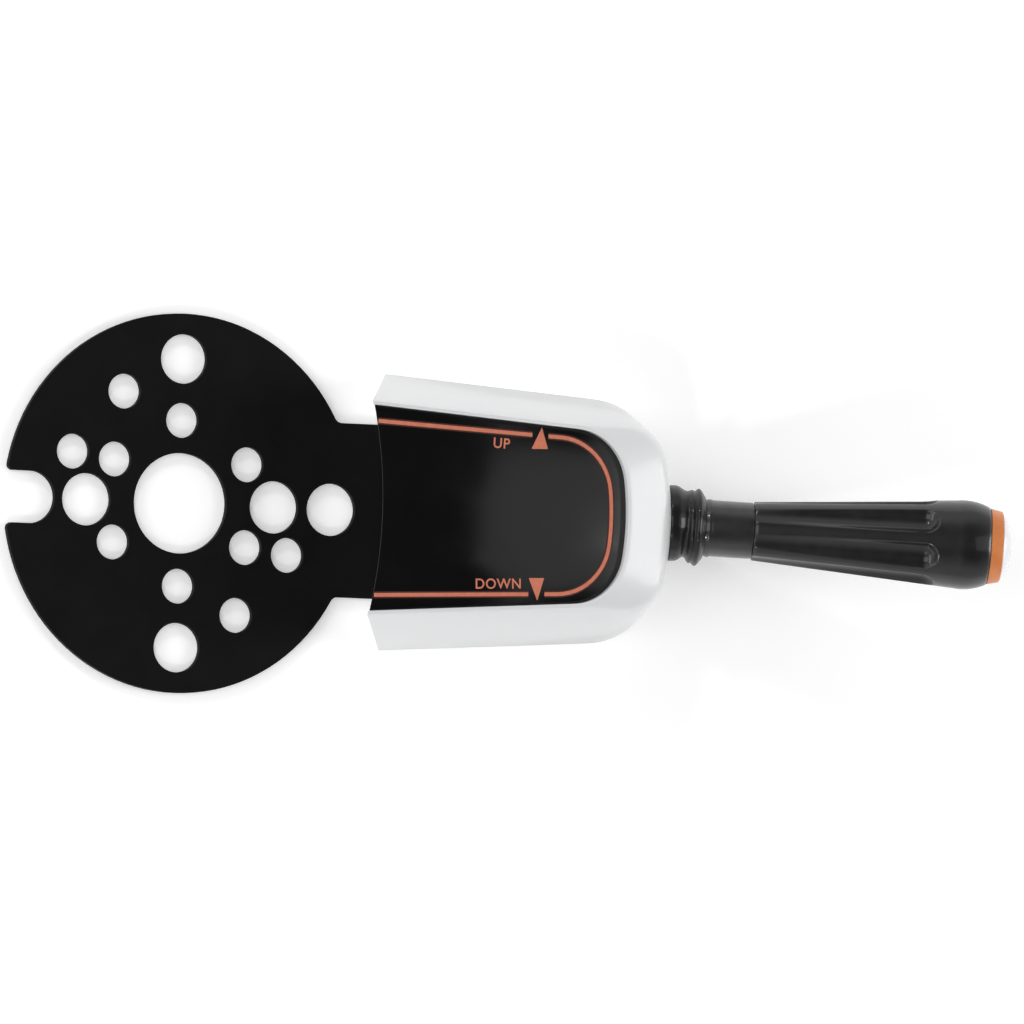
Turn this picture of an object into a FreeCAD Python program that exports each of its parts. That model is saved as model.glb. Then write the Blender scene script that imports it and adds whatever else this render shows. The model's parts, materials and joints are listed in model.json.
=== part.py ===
import FreeCAD, Part

import math
import os
from types import SimpleNamespace

import Sketcher
from FreeCAD import Placement, Rotation, Vector

# Trim control lever switch, in millimetres. The origin is the centre of the helm shaft hole on the back
# of the mounting plate, +X runs towards the lever, +Y to the trim-up side and +Z towards the driver.

# Driving dimensions
SIZES = {
    # mounting plate
    "plate_thickness": 2.5,
    "disc_diameter": 138.0,
    "shaft_hole_diameter": 36.5,
    "small_hole_diameter": 12.7,
    "large_hole_diameter": 19.05,
    "end_hole_diameter": 18.0,
    "inner_circle_diameter": 60.3,
    "outer_circle_diameter": 92.1,
    "large_circle_diameter": 74.0,
    "end_circle_diameter": 105.0,
    "outer_pair_angle": 120.0,
    "second_pair_angle": 158.0,
    "far_hole_distance": 59.5,
    "notch_width": 19.05,
    "notch_distance": 59.0,
    "notch_lip_radius": 2.0,
    "tongue_width": 63.5,
    "tongue_reach": 172.0,
    "tongue_corner_radius": 3.0,
    "neck_fillet_radius": 3.0,
    # housing: the datum lies outline_datum back from the tongue's end. Half widths are taken there, and
    # tips, distances and starts are measured from it
    "face_height": 36.0,
    "shoulder_height": 30.0,
    "outline_datum": 107.0,
    "side_taper": 4.0,
    "face_half_width": 38.6,
    "base_half_width": 51.6,
    "face_tip": 99.2,
    "base_tip": 128.0,
    "face_corner_radius": 22.0,
    "shoulder_corner_radius": 14.0,
    "base_corner_radius": 29.5,
    "nose_radius": 100.0,
    "end_arc_radius": 170.0,
    "end_rake": 33.0,
    "wall": 2.5,
    "end_wall": 3.5,
    "roof": 2.5,
    "lip_width": 1.3,
    "panel_depth": 2.0,
    "panel_thickness": 1.5,
    "fit_gap": 0.2,
    # studs of the face panel and their push nuts
    "stud_radius": 1.5,
    "stud_length": 6.0,
    "stud_spread": 22.0,
    "front_stud_distance": 23.0,
    "rear_stud_distance": 73.0,
    "push_nut_radius": 4.0,
    "push_nut_thickness": 0.8,
    # bosses and screws at the back
    "tongue_boss_distance": 34.0,
    "tongue_boss_spread": 24.0,
    "tongue_boss_radius": 4.5,
    "tongue_screw_radius": 2.0,
    "tongue_screw_length": 14.0,
    "cover_boss_radius": 3.2,
    "cover_boss_top": 10.0,
    "cover_screw_radius": 1.5,
    "cover_screw_length": 9.0,
    "side_boss_distance": 39.0,
    "side_boss_inset": 9.7,
    "middle_boss_distance": 83.0,
    "middle_boss_inset": 12.7,
    "nose_boss_distance": 113.8,
    "nose_boss_inset": 28.6,
    "thread_gap": 0.05,
    "socket_width_share": 0.9,
    "socket_depth_share": 0.8,
    # back cover, gasket and grommet
    "cover_tip": 121.0,
    "gasket_width": 5.5,
    "gasket_thickness": 1.0,
    "gasket_overlap": 2.8,
    "gasket_end_width": 4.4,
    "gasket_end_overlap": 1.0,
    "grommet_distance": 61.0,
    "grommet_inset": 12.6,
    "grommet_hole_radius": 3.4,
    "grommet_flange_radius": 4.4,
    "grommet_bore_radius": 2.0,
    "grommet_flange_thickness": 1.2,
    "grommet_recess": 0.3,
    # pivot
    "pivot_distance": 99.0,
    "pin_radius": 3.0,
    "pin_length": 25.0,
    "running_gap": 0.05,
    "end_float": 0.2,
    "hub_radius": 9.0,
    "hub_length": 15.0,
    "bush_radius": 4.5,
    "bush_flange_radius": 6.5,
    "bush_flange_thickness": 1.3,
    "bush_length": 6.0,
    "clip_radius": 5.0,
    "clip_thickness": 0.8,
    "clip_mouth_share": 0.8,
    "groove_depth": 0.8,
    "bracket_width": 12.0,
    "bracket_span": 30.0,
    "bracket_foot": 11.5,
    "bracket_thickness": 2.0,
    "bracket_screw_radius": 2.0,
    "bracket_screw_head_radius": 3.75,
    "bracket_screw_head_height": 2.5,
    "bracket_screw_spread": 22.7,
    # lever
    "lever_rise": 18.5,
    "lever_droop": 2.2,
    "lever_height": 15.0,
    "rod_radius": 3.5,
    "rod_start": 6.0,
    "rod_end": 104.0,
    "tail_length": 24.0,
    "tail_half_width": 4.0,
    "tail_thickness": 3.5,
    "tail_height": 12.0,
    "drive_pin_radius": 2.0,
    "drive_pin_drop": 5.5,
    "drive_pin_head_radius": 3.0,
    "drive_pin_head_height": 0.8,
    "neck_radius": 10.3,
    "neck_start": 8.2,
    "grip_start": 30.9,
    "grip_start_radius": 10.8,
    "grip_swell_start": 105.4,
    "grip_swell_radius": 16.1,
    "grip_swell_arc": 20.5,
    "grip_end": 117.4,
    "grip_end_radius": 13.95,
    "flute_count": 7.0,
    "flute_angle": 29.0,
    "flute_radius": 6.0,
    "flute_start_depth": 0.6,
    "flute_end_depth": 3.1,
    "flute_end": 92.5,
    "core_radius": 6.0,
    "grip_pocket_radius": 9.0,
    "grip_screw_radius": 2.0,
    "grip_screw_length": 14.0,
    "grip_screw_head_radius": 3.6,
    "grip_screw_head_height": 2.6,
    "washer_radius": 7.5,
    "washer_thickness": 1.0,
    "ring_end": 121.9,
    "ring_start_radius": 13.85,
    "ring_end_radius": 12.9,
    "cap_end": 126.4,
    "cap_radius": 12.6,
    "cap_wall": 2.4,
    "cap_roof": 2.9,
    "spigot_radius": 8.9,
    "spigot_start": 110.0,
    # boot, along the lever from the wall's outer face
    "boot_seat_radius": 15.0,
    "boot_wall": 3.0,
    "boot_hole_radius": 9.5,
    "boot_bore_radius": 8.0,
    "boot_flange_radius": 13.9,
    "boot_flange": 3.4,
    "boot_waist": 5.9,
    "boot_waist_radius": 11.8,
    "boot_ring": 9.5,
    "boot_ring_radius": 14.1,
    "boot_ring_half": 1.3,
    "boot_ring_arc": 1.8,
    "boot_end": 12.9,
    "boot_end_radius": 11.5,
    "boot_gap": 0.3,
    "boot_skin": 2.4,
    "boot_overlap": 1.5,
    "boot_lip_radius": 11.2,
    "boot_lip": 1.6,
    "spot_face_radius": 12.2,
    "retainer_radius": 10.6,
    "retainer_bore_radius": 8.2,
    "retainer_thickness": 1.0,
    # switch
    "case_start": 41.0,
    "case_length": 44.0,
    "case_half_width": 21.0,
    "case_wall": 2.0,
    "case_height": 14.0,
    "lid_thickness": 2.0,
    "case_post_radius": 3.0,
    "case_post_inset": 4.5,
    "case_screw_radius": 1.5,
    "case_screw_head_radius": 2.8,
    "case_screw_head_height": 1.6,
    "carriage_start": 56.0,
    "carriage_length": 25.0,
    "carriage_half_width": 8.0,
    "carriage_height": 5.6,
    "slide_gap": 0.2,
    "slot_play": 0.1,
    "rib_height": 0.7,
    "rib_width": 1.8,
    "lever_travel": 8.0,
    "contact_thickness": 0.8,
    "contact_gap": 0.05,
    "contact_length": 11.5,
    "contact_height": 3.0,
    "contact_hold": 3.0,
    "contact_lift": 0.85,
    "terminal_width": 6.3,
    "terminal_out": 10.0,
    "terminal_reach": 12.4,
    "terminal_eye_distance": 3.5,
    "terminal_eye_radius": 0.8,
    "terminal_upright": 6.4,
    "terminal_upright_height": 4.5,
    "spring_distance": 67.0,
    "spring_radius": 2.2,
    "spring_wire_radius": 0.3,
    "spring_turns": 6.0,
    "spring_gap": 0.15,
    "end_arc_margin": 10.0,
}


def text_of(number):
    return number.text if isinstance(number, Size) else repr(float(number))


def combined(left, sign, right, number):
    return Size(number, f"({text_of(left)} {sign} {text_of(right)})")


class Size(float):
    """A number that carries the spreadsheet expression it comes from through sums and products."""

    def __new__(cls, number, text):
        size = super().__new__(cls, number)
        size.text = text
        return size

    def __add__(self, other):
        return combined(self, "+", other, float(self) + float(other))

    def __radd__(self, other):
        return combined(other, "+", self, float(other) + float(self))

    def __sub__(self, other):
        return combined(self, "-", other, float(self) - float(other))

    def __rsub__(self, other):
        return combined(other, "-", self, float(other) - float(self))

    def __mul__(self, other):
        return combined(self, "*", other, float(self) * float(other))

    __rmul__ = __mul__

    def __truediv__(self, other):
        return combined(self, "/", other, float(self) / float(other))

    def __neg__(self):
        return Size(-float(self), f"(0 - {self.text})")


def sine(angle):
    return Size(math.sin(math.radians(angle)), f"sin({text_of(angle)})")


def cosine(angle):
    return Size(math.cos(math.radians(angle)), f"cos({text_of(angle)})")


def tangent(angle):
    return Size(math.tan(math.radians(angle)), f"tan({text_of(angle)})")


def arctangent(slope):
    return Size(math.degrees(math.atan(slope)), f"atan({text_of(slope)})")


doc = FreeCAD.newDocument("TrimLeverSwitch")
sheet = doc.addObject("Spreadsheet::Sheet", "Sizes")
for row, (alias, number) in enumerate(SIZES.items(), 1):
    sheet.set(f"A{row}", alias)
    sheet.set(f"B{row}", str(number))
    sheet.setAlias(f"B{row}", alias)
doc.recompute()
s = SimpleNamespace(**{alias: Size(sheet.get(alias), f"Sizes.{alias}") for alias in SIZES})

# Places along the housing, from the middle of the disc
datum = s.tongue_reach - s.outline_datum
nose_tip = datum + s.base_tip
cover_nose = datum + s.cover_tip
pivot_x = datum + s.pivot_distance
case_left = datum + s.case_start
carriage_left = datum + s.carriage_start
grommet_x = datum + s.grommet_distance
grommet_side = s.base_half_width - s.grommet_inset

nodes = []


# Helpers for binding, sketches and features
def bind(thing, path, size):
    """Sets a property, or a constraint by its path, and ties it to the spreadsheet."""
    if path in thing.PropertiesList:
        setattr(thing, path, float(size))
    if isinstance(size, Size):
        thing.setExpression(path, size.text)


def new_body(label, is_node=True):
    body = doc.addObject("PartDesign::Body", label)
    body.Label = label
    if is_node:
        nodes.append(body)
    return body


def new_sketch(body, name, role="XY_Plane", height=0.0):
    sketch = body.newObject("Sketcher::SketchObject", f"{body.Name}_{name}")
    plane = next(f for f in body.Origin.OriginFeatures if f.Role == role)
    sketch.AttachmentSupport = [(plane, "")]
    sketch.MapMode = "FlatFace"
    sketch.AttachmentOffset = Placement(Vector(0, 0, float(height)), Rotation())
    if isinstance(height, Size):
        sketch.setExpression("AttachmentOffset.Base.z", height.text)
    return sketch


def constrain(sketch, kind, *where, size):
    index = sketch.addConstraint(Sketcher.Constraint(kind, *where, float(size)))
    if isinstance(size, Size):
        sketch.setExpression(f"Constraints[{index}]", size.text)


def fix_point(sketch, geometry, end, x, y):
    """Ties a point of the sketch to its distances from the sketch's origin."""
    for kind, axis, size in (("DistanceX", -2, x), ("DistanceY", -1, y)):
        if isinstance(size, Size) or size != 0:
            constrain(sketch, kind, -1, 1, geometry, end, size=size)
        else:
            sketch.addConstraint(Sketcher.Constraint("PointOnObject", geometry, end, axis))


def arc_between(start, end, radius):
    """An arc from start to end; a positive radius bulges to the right of the way from start to end."""
    chord = end - start
    side = Vector(chord.y, -chord.x, 0).normalize() * (1 if radius > 0 else -1)
    depth = math.sqrt(radius**2 - (chord.Length / 2) ** 2)
    centre = (start + end) * 0.5 - side * depth
    first, last = (start, end) if radius > 0 else (end, start)
    angles = [math.atan2(p.y - centre.y, p.x - centre.x) for p in (first, last)]
    return Part.ArcOfCircle(Part.Circle(centre, Vector(0, 0, 1), abs(radius)), *angles)


def profile(sketch, points, arcs=None):
    """A closed outline through the points. arcs gives the radius of the stretch after a point's number."""
    arcs = arcs or {}
    corners = [Vector(float(x), float(y), 0) for x, y in points]
    stretches = []
    for i, start in enumerate(corners):
        end = corners[(i + 1) % len(corners)]
        if i in arcs:
            shape = arc_between(start, end, arcs[i])
            ends = (1, 2) if arcs[i] > 0 else (2, 1)
        else:
            shape, ends = Part.LineSegment(start, end), (1, 2)
        stretches.append((sketch.addGeometry(shape, False), ends))
    for i, (geometry, ends) in enumerate(stretches):
        after, after_ends = stretches[(i + 1) % len(stretches)]
        sketch.addConstraint(Sketcher.Constraint("Coincident", geometry, ends[1], after, after_ends[0]))
        fix_point(sketch, geometry, ends[0], *points[i])
        if i in arcs:
            size = arcs[i] if arcs[i] > 0 else -arcs[i]
            constrain(sketch, "Radius", geometry, size=size)
    return sketch


def rectangle(sketch, left, right, bottom, top):
    return profile(sketch, [(left, bottom), (right, bottom), (right, top), (left, top)])


def circles(sketch, places, radius):
    for x, y in places:
        shape = Part.Circle(Vector(float(x), float(y), 0), Vector(0, 0, 1), float(radius))
        geometry = sketch.addGeometry(shape, False)
        fix_point(sketch, geometry, 3, x, y)
        constrain(sketch, "Radius", geometry, size=radius)
    return sketch


def extrude(body, kind, sketch, length):
    """A pad, or a pocket that cuts the way the sketch faces."""
    feature = body.newObject(f"PartDesign::{kind}", f"{sketch.Name}_{kind.lower()}")
    feature.Profile = sketch
    bind(feature, "Length", length)
    feature.Reversed = kind == "Pocket"
    sketch.Visibility = False
    return feature


def revolve(body, points, arcs=None, kind="Revolution", name="profile"):
    """Turns a profile of (radius, height) points about the body's own Z axis."""
    sketch = profile(new_sketch(body, name, "XZ_Plane"), points, arcs)
    feature = body.newObject(f"PartDesign::{kind}", f"{sketch.Name}_turned")
    feature.Profile = sketch
    feature.ReferenceAxis = (sketch, ["V_Axis"])
    feature.Angle = 360
    return feature


def primitive(body, kind, placement, **sizes):
    """A PartDesign cylinder or sphere, added or cut, at a place in the body."""
    feature = body.newObject(f"PartDesign::{kind}", f"{body.Name}_{kind.lower()}")
    for name, size in sizes.items():
        bind(feature, name, size)
    feature.Placement = placement
    return feature


def fillet(body, tip, radius, chosen):
    """Rounds the edges of the tip for which chosen says yes."""
    doc.recompute()
    names = [f"Edge{i}" for i, e in enumerate(tip.Shape.Edges, 1) if chosen(e)]
    feature = body.newObject("PartDesign::Fillet", f"{body.Name}_fillet")
    feature.Base = (tip, names)
    bind(feature, "Radius", radius)
    return feature


def both_sides(x, y):
    return [(x, y), (x, -y)]


def at(x=0.0, y=0.0, z=0.0, axis=Vector(0, 0, 1), angle=0.0):
    return Placement(Vector(float(x), float(y), float(z)), Rotation(axis, float(angle)))


# Housing outline, shared by the shell, its panel and its cover
def nose_reach(height):
    """How far the nose is from the origin at a height: it leans back to face the lever."""
    return nose_tip - height * tangent(s.lever_rise)


def face_outline(inset=0.0):
    return outline_of(s.face_half_width, s.face_corner_radius, datum + s.face_tip, inset)


def shoulder_outline(inset=0.0):
    share = (s.face_height - s.shoulder_height) / s.face_height
    half = s.face_half_width + (s.base_half_width - s.face_half_width) * share
    return outline_of(half, s.shoulder_corner_radius, nose_reach(s.shoulder_height), inset)


def base_outline(inset=0.0, tip=nose_tip):
    return outline_of(s.base_half_width, s.base_corner_radius, tip, inset)


def outline_of(half, corner, tip, inset):
    nose = s.nose_radius - inset
    return SimpleNamespace(half=half - inset, corner=corner - inset, nose=nose, tip=tip - inset)


def nose_outline(sketch, outline, left):
    """A U on its side: two tapering sides, two round corners and a broad round nose, closed at the left."""
    slope, lean = tangent(s.side_taper), math.radians(s.side_taper)
    start_half = outline.half + (datum - left) * slope
    along, inward = Vector(math.cos(lean), -math.sin(lean), 0), Vector(-math.sin(lean), -math.cos(lean), 0)
    nose_centre = Vector(outline.tip - outline.nose, 0, 0)
    start = Vector(float(left), float(start_half), 0)
    rail = start + inward * float(outline.corner) - nose_centre
    reach = rail.dot(along)
    gap = float(outline.nose - outline.corner)
    run = -reach + math.sqrt(reach**2 - rail.Length**2 + gap**2)
    corner_centre = nose_centre + rail + along * run
    side_end = start + along * run
    lower_centre = Vector(corner_centre.x, -corner_centre.y, 0)
    up = Vector(0, 0, 1)
    side_angle = math.pi / 2 - lean
    nose_angle = math.atan2(corner_centre.y, corner_centre.x - nose_centre.x)
    corner, nose = float(outline.corner), float(outline.nose)
    shapes = [
        Part.LineSegment(start, side_end),
        Part.ArcOfCircle(Part.Circle(corner_centre, up, corner), nose_angle, side_angle),
        Part.ArcOfCircle(Part.Circle(nose_centre, up, nose), -nose_angle, nose_angle),
        Part.ArcOfCircle(Part.Circle(lower_centre, up, corner), -side_angle, -nose_angle),
        Part.LineSegment(Vector(start.x, -start.y, 0), Vector(side_end.x, -side_end.y, 0)),
        Part.LineSegment(Vector(start.x, -start.y, 0), start),
    ]
    upper, upper_corner, nose_arc, lower_corner, lower, end = [sketch.addGeometry(g, False) for g in shapes]
    for kind, *where in (
        ("Tangent", upper, 2, upper_corner, 2),
        ("Tangent", upper_corner, 1, nose_arc, 2),
        ("Tangent", nose_arc, 1, lower_corner, 2),
        ("Tangent", lower_corner, 1, lower, 2),
        ("Coincident", lower, 1, end, 1),
        ("Coincident", end, 2, upper, 1),
        ("PointOnObject", nose_arc, 3, -1),
        ("Equal", upper_corner, lower_corner),
        ("Equal", upper, lower),
    ):
        sketch.addConstraint(Sketcher.Constraint(kind, *where))
    fix_point(sketch, upper, 1, left, start_half)
    fix_point(sketch, lower, 1, left, -start_half)
    constrain(sketch, "Radius", upper_corner, size=outline.corner)
    constrain(sketch, "Radius", nose_arc, size=outline.nose)
    constrain(sketch, "DistanceX", -1, 1, nose_arc, 3, size=outline.tip - outline.nose)
    index = sketch.addConstraint(Sketcher.Constraint("Angle", lower, lean))
    sketch.setExpression(f"Constraints[{index}]", f"{s.side_taper.text} * 1deg")
    return sketch


def loft(body, kind, sketches):
    feature = body.newObject(f"PartDesign::{kind}", f"{body.Name}_{kind.lower()}")
    feature.Profile = sketches[0]
    feature.Sections = sketches[1:]
    feature.Ruled = True
    return feature


def end_of_housing(height):
    """How far from the origin the middle of the leaning left end is at a height."""
    return datum + (s.face_height - height) * tangent(s.end_rake)


def cut_leaning_end(body):
    """Trims the left end along an arc that leans away under the face, clear of the helm's bezel."""
    sketch = new_sketch(body, "end_arc", height=s.face_height)
    circles(sketch, [(datum - s.end_arc_radius, 0.0)], s.end_arc_radius)
    cut = extrude(body, "Pocket", sketch, s.face_height * 3)
    cut.UseCustomVector = True
    cut.Direction = Vector(math.tan(math.radians(s.end_rake)), 0, -1).normalize()
    cut.AlongSketchNormal = False
    cut.Midplane = True
    return cut


# Places that several pieces share
tongue_half = s.tongue_width / 2
tongue_boss_places = both_sides(datum + s.tongue_boss_distance, s.tongue_boss_spread)
cover_boss_places = (
    both_sides(datum + s.side_boss_distance, s.base_half_width - s.side_boss_inset)
    + both_sides(datum + s.middle_boss_distance, s.base_half_width - s.middle_boss_inset)
    + both_sides(datum + s.nose_boss_distance, s.base_half_width - s.nose_boss_inset)
)
front_studs = both_sides(datum + s.front_stud_distance, s.stud_spread)
stud_places = front_studs + both_sides(datum + s.rear_stud_distance, s.stud_spread)
bracket_screw_places = both_sides(pivot_x, s.bracket_screw_spread)
case_end = case_left + s.case_length
case_post_side = s.case_half_width - s.case_post_inset
case_post_places = both_sides(case_left + s.case_post_inset, case_post_side) + both_sides(
    case_end - s.case_post_inset, case_post_side
)
roof_underside = s.face_height - s.panel_depth - s.panel_thickness - s.roof
roof_top = roof_underside + s.roof
case_floor = s.plate_thickness + s.case_wall
case_top = s.plate_thickness + s.case_height
hub_bottom = s.plate_thickness + s.end_float + s.bush_flange_thickness
hub_top = hub_bottom + s.hub_length
bracket_underside = hub_top + s.bush_flange_thickness + s.end_float
bracket_top = bracket_underside + s.bracket_thickness
rest_shift = s.tail_length * sine(s.lever_droop)

# The lever's own frame: Z along the lever from the outside of the nose wall, -X up towards the driver
wall_distance = nose_reach(s.lever_height)
wall_frame = Placement(
    Vector(wall_distance, 0, s.lever_height),
    Rotation(Vector(0, 1, 0), 90 - float(s.lever_rise)),
)
droop = Placement(Vector(), Rotation(Vector(0, 0, 1), -float(s.lever_droop)), Vector(pivot_x, 0, 0))
lever_frame = droop.multiply(wall_frame)


def mounting_plate():
    body = new_body("mounting_plate")
    disc = circles(new_sketch(body, "disc"), [(0.0, 0.0)], s.disc_diameter / 2)
    extrude(body, "Pad", disc, s.plate_thickness)
    tongue = rectangle(new_sketch(body, "tongue"), 0.0, s.tongue_reach, -tongue_half, tongue_half)
    joined = extrude(body, "Pad", tongue, s.plate_thickness)

    def upright_at_neck(edge):
        x, y = edge.CenterOfMass.x, abs(edge.CenterOfMass.y)
        root = math.sqrt((s.disc_diameter / 2) ** 2 - tongue_half**2)
        return abs(y - tongue_half) < 1e-3 and abs(x - root) < 1e-3

    def upright_at_tongue_end(edge):
        middle = edge.CenterOfMass
        return abs(middle.x - s.tongue_reach) < 1e-3 and abs(abs(middle.y) - tongue_half) < 1e-3

    necked = fillet(body, joined, s.neck_fillet_radius, upright_at_neck)
    rounded = fillet(body, necked, s.tongue_corner_radius, upright_at_tongue_end)

    notch_half = s.notch_width / 2
    slot = new_sketch(body, "notch")
    rectangle(slot, -s.disc_diameter, -s.notch_distance, -notch_half, notch_half)
    slotted = extrude(body, "Pocket", slot, s.plate_thickness)
    round_end = circles(new_sketch(body, "notch_end"), [(-s.notch_distance, 0.0)], notch_half)
    extrude(body, "Pocket", round_end, s.plate_thickness)

    def upright_at_mouth(edge):
        mouth = -math.sqrt((s.disc_diameter / 2) ** 2 - notch_half**2)
        return abs(edge.CenterOfMass.x - mouth) < 1e-3 and abs(abs(edge.CenterOfMass.y) - notch_half) < 1e-3

    fillet(body, body.Tip, s.notch_lip_radius, upright_at_mouth)

    inner, outer = s.inner_circle_diameter / 2, s.outer_circle_diameter / 2
    small = [(inner * cosine(a), inner * sine(a)) for a in range(30, 390, 60)]
    for angle in (s.outer_pair_angle, s.second_pair_angle):
        x, y = outer * cosine(angle), outer * sine(angle)
        small += [(x, y), (-x, -y)]
    across = s.large_circle_diameter / 2
    ends = s.end_circle_diameter / 2
    drilled = (
        ("shaft_hole", [(0.0, 0.0)], s.shaft_hole_diameter),
        ("small_holes", small, s.small_hole_diameter),
        ("large_holes", [(across, 0.0), (-across, 0.0), (s.far_hole_distance, 0.0)], s.large_hole_diameter),
        ("end_holes", [(0.0, ends), (0.0, -ends)], s.end_hole_diameter),
        ("bracket_holes", bracket_screw_places, (s.bracket_screw_radius + s.thread_gap) * 2),
        ("case_holes", case_post_places, (s.case_screw_radius + s.thread_gap) * 2),
        ("tongue_holes", tongue_boss_places, (s.tongue_screw_radius + s.thread_gap) * 2),
        ("pin_hole", [(pivot_x, 0.0)], (s.pin_radius + s.thread_gap) * 2),
    )
    for name, places, diameter in drilled:
        extrude(body, "Pocket", circles(new_sketch(body, name), places, diameter / 2), s.plate_thickness)
    for x, y in tongue_boss_places:
        countersink(body, x, y, s.tongue_screw_radius)
    return body


def countersink(body, x, y, screw_radius):
    """A 90 degree countersink in the back face, twice as wide as the screw."""
    cone = body.newObject("PartDesign::SubtractiveCone", f"{body.Name}_countersink")
    bind(cone, "Radius1", screw_radius * 2 + s.thread_gap)
    bind(cone, "Radius2", screw_radius + s.thread_gap)
    bind(cone, "Height", screw_radius)
    cone.Placement = at(x, y)


def housing_shell():
    body = new_body("housing_shell")
    left = datum - s.end_arc_margin
    outer = [
        nose_outline(new_sketch(body, name, height=height), outline, left)
        for name, height, outline in (
            ("base", 0.0, base_outline()),
            ("shoulder", s.shoulder_height, shoulder_outline()),
            ("face", s.face_height, face_outline()),
        )
    ]
    loft(body, "AdditiveLoft", outer)
    inner_shoulder = s.shoulder_height - s.wall
    inner = [
        nose_outline(new_sketch(body, name, height=height), outline, end_of_housing(height) + s.end_wall)
        for name, height, outline in (
            ("cavity_base", Size(0.0, "0"), base_outline(s.wall, cover_nose + s.wall + s.fit_gap)),
            ("cavity_shoulder", inner_shoulder, shoulder_outline(s.wall)),
            ("cavity_roof", roof_underside, face_outline(s.wall)),
        )
    ]
    loft(body, "SubtractiveLoft", inner)
    recess = nose_outline(new_sketch(body, "recess", height=roof_top), face_outline(s.lip_width), left)
    extrude(body, "Pocket", recess, s.face_height)
    for places, radius, top in (
        (tongue_boss_places, s.tongue_boss_radius, roof_underside + s.roof / 2),
        (cover_boss_places, s.cover_boss_radius, s.cover_boss_top),
    ):
        name = f"bosses_{len(places)}"
        posts = circles(new_sketch(body, name, height=s.plate_thickness), places, radius)
        extrude(body, "Pad", posts, top - s.plate_thickness)
    for name, places, radius, depth in (
        ("tongue_pilots", tongue_boss_places, s.tongue_screw_radius, s.tongue_screw_length),
        ("cover_pilots", cover_boss_places, s.cover_screw_radius, s.cover_screw_length),
    ):
        extrude(body, "Pocket", circles(new_sketch(body, name), places, radius + s.thread_gap), depth)
    under_roof = new_sketch(body, "stud_holes", height=roof_underside)
    studs = circles(under_roof, stud_places, s.stud_radius + s.thread_gap)
    extrude(body, "Pocket", studs, s.roof)
    mouth = s.tongue_width / 2 + s.fit_gap
    inside_end = end_of_housing(0.0) + s.end_wall * 2
    slot = rectangle(new_sketch(body, "tongue_slot"), left, inside_end, -mouth, mouth)
    extrude(body, "Pocket", slot, s.plate_thickness)
    cut_leaning_end(body)
    seat = wall_frame.multiply(at(z=-s.boot_wall))
    primitive(body, "AdditiveCylinder", seat, Radius=s.boot_seat_radius, Height=s.boot_wall)
    deep = s.boot_wall * 4
    behind = wall_frame.multiply(at(z=-deep - s.boot_wall))
    primitive(body, "SubtractiveCylinder", behind, Radius=s.spot_face_radius, Height=deep)
    through = wall_frame.multiply(at(z=-deep))
    primitive(body, "SubtractiveCylinder", through, Radius=s.boot_hole_radius, Height=deep * 2)
    return body


def face_panel():
    body = new_body("face_panel")
    sketch = new_sketch(body, "outline", height=roof_top)
    nose_outline(sketch, face_outline(s.lip_width + s.fit_gap / 2), datum - s.end_arc_margin)
    extrude(body, "Pad", sketch, s.panel_thickness)
    studs = circles(new_sketch(body, "studs", height=roof_top - s.stud_length), stud_places, s.stud_radius)
    extrude(body, "Pad", studs, s.stud_length)
    cut_leaning_end(body)
    return body


def push_nuts():
    rings = []
    for x, y in stud_places:
        disc = doc.addObject("Part::Cylinder", "push_nut_disc")
        bind(disc, "Radius", s.push_nut_radius)
        bind(disc, "Height", s.push_nut_thickness)
        hole = doc.addObject("Part::Cylinder", "push_nut_hole")
        bind(hole, "Radius", s.stud_radius + s.thread_gap)
        bind(hole, "Height", s.push_nut_thickness)
        for piece in (disc, hole):
            piece.Placement = at(x, y, roof_underside - s.push_nut_thickness)
        rings.append(cut_of("push_nut", disc, hole))
    return group("panel_push_nuts", rings)


def cut_of(name, base, tool):
    cut = doc.addObject("Part::Cut", name)
    cut.Base, cut.Tool = base, tool
    return cut


def fused(name, shapes):
    fuse = doc.addObject("Part::MultiFuse", name)
    fuse.Shapes = shapes
    return fuse


def group(label, shapes):
    compound = doc.addObject("Part::Compound", label)
    compound.Links = shapes
    compound.Label = label
    nodes.append(compound)
    return compound


def solid_node(label, shape):
    shape.Label = label
    nodes.append(shape)
    return shape


def cylinder(name, radius, height, place):
    piece = doc.addObject("Part::Cylinder", name)
    bind(piece, "Radius", radius)
    bind(piece, "Height", height)
    piece.Placement = place
    return piece


def hex_recess(name, radius, depth, place):
    recess = doc.addObject("Part::Prism", name)
    recess.Polygon = 6
    bind(recess, "Circumradius", radius)
    bind(recess, "Height", depth)
    recess.Placement = place
    return recess


def countersunk_screws(label, places, radius, length):
    """Screws driven from the back, their flat heads flush with it, each with a hexagon socket."""
    screws = []
    for x, y in places:
        head = doc.addObject("Part::Cone", f"{label}_head")
        bind(head, "Radius1", radius * 2)
        bind(head, "Radius2", radius)
        bind(head, "Height", radius)
        head.Placement = at(x, y)
        shank = cylinder(f"{label}_shank", radius, length, at(x, y))
        width, depth = radius * s.socket_width_share, radius * s.socket_depth_share
        socket = hex_recess(f"{label}_socket", width, depth, at(x, y))
        screws.append(cut_of(f"{label}_one", fused(f"{label}_blank", [head, shank]), socket))
    return group(label, screws)


def headed_screws(label, places, seat, reach, radius, head_radius, head_height):
    """Screws driven from the front: a round head on the seat and a shank that ends at a height."""
    screws = []
    for x, y in places:
        head = cylinder(f"{label}_head", head_radius, head_height, at(x, y, seat))
        shank = cylinder(f"{label}_shank", radius, seat - reach + head_height / 2, at(x, y, reach))
        socket_place = at(x, y, seat + head_height / 2)
        socket = hex_recess(f"{label}_socket", head_radius / 2, head_height / 2, socket_place)
        screws.append(cut_of(f"{label}_one", fused(f"{label}_blank", [head, shank]), socket))
    return group(label, screws)


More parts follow.
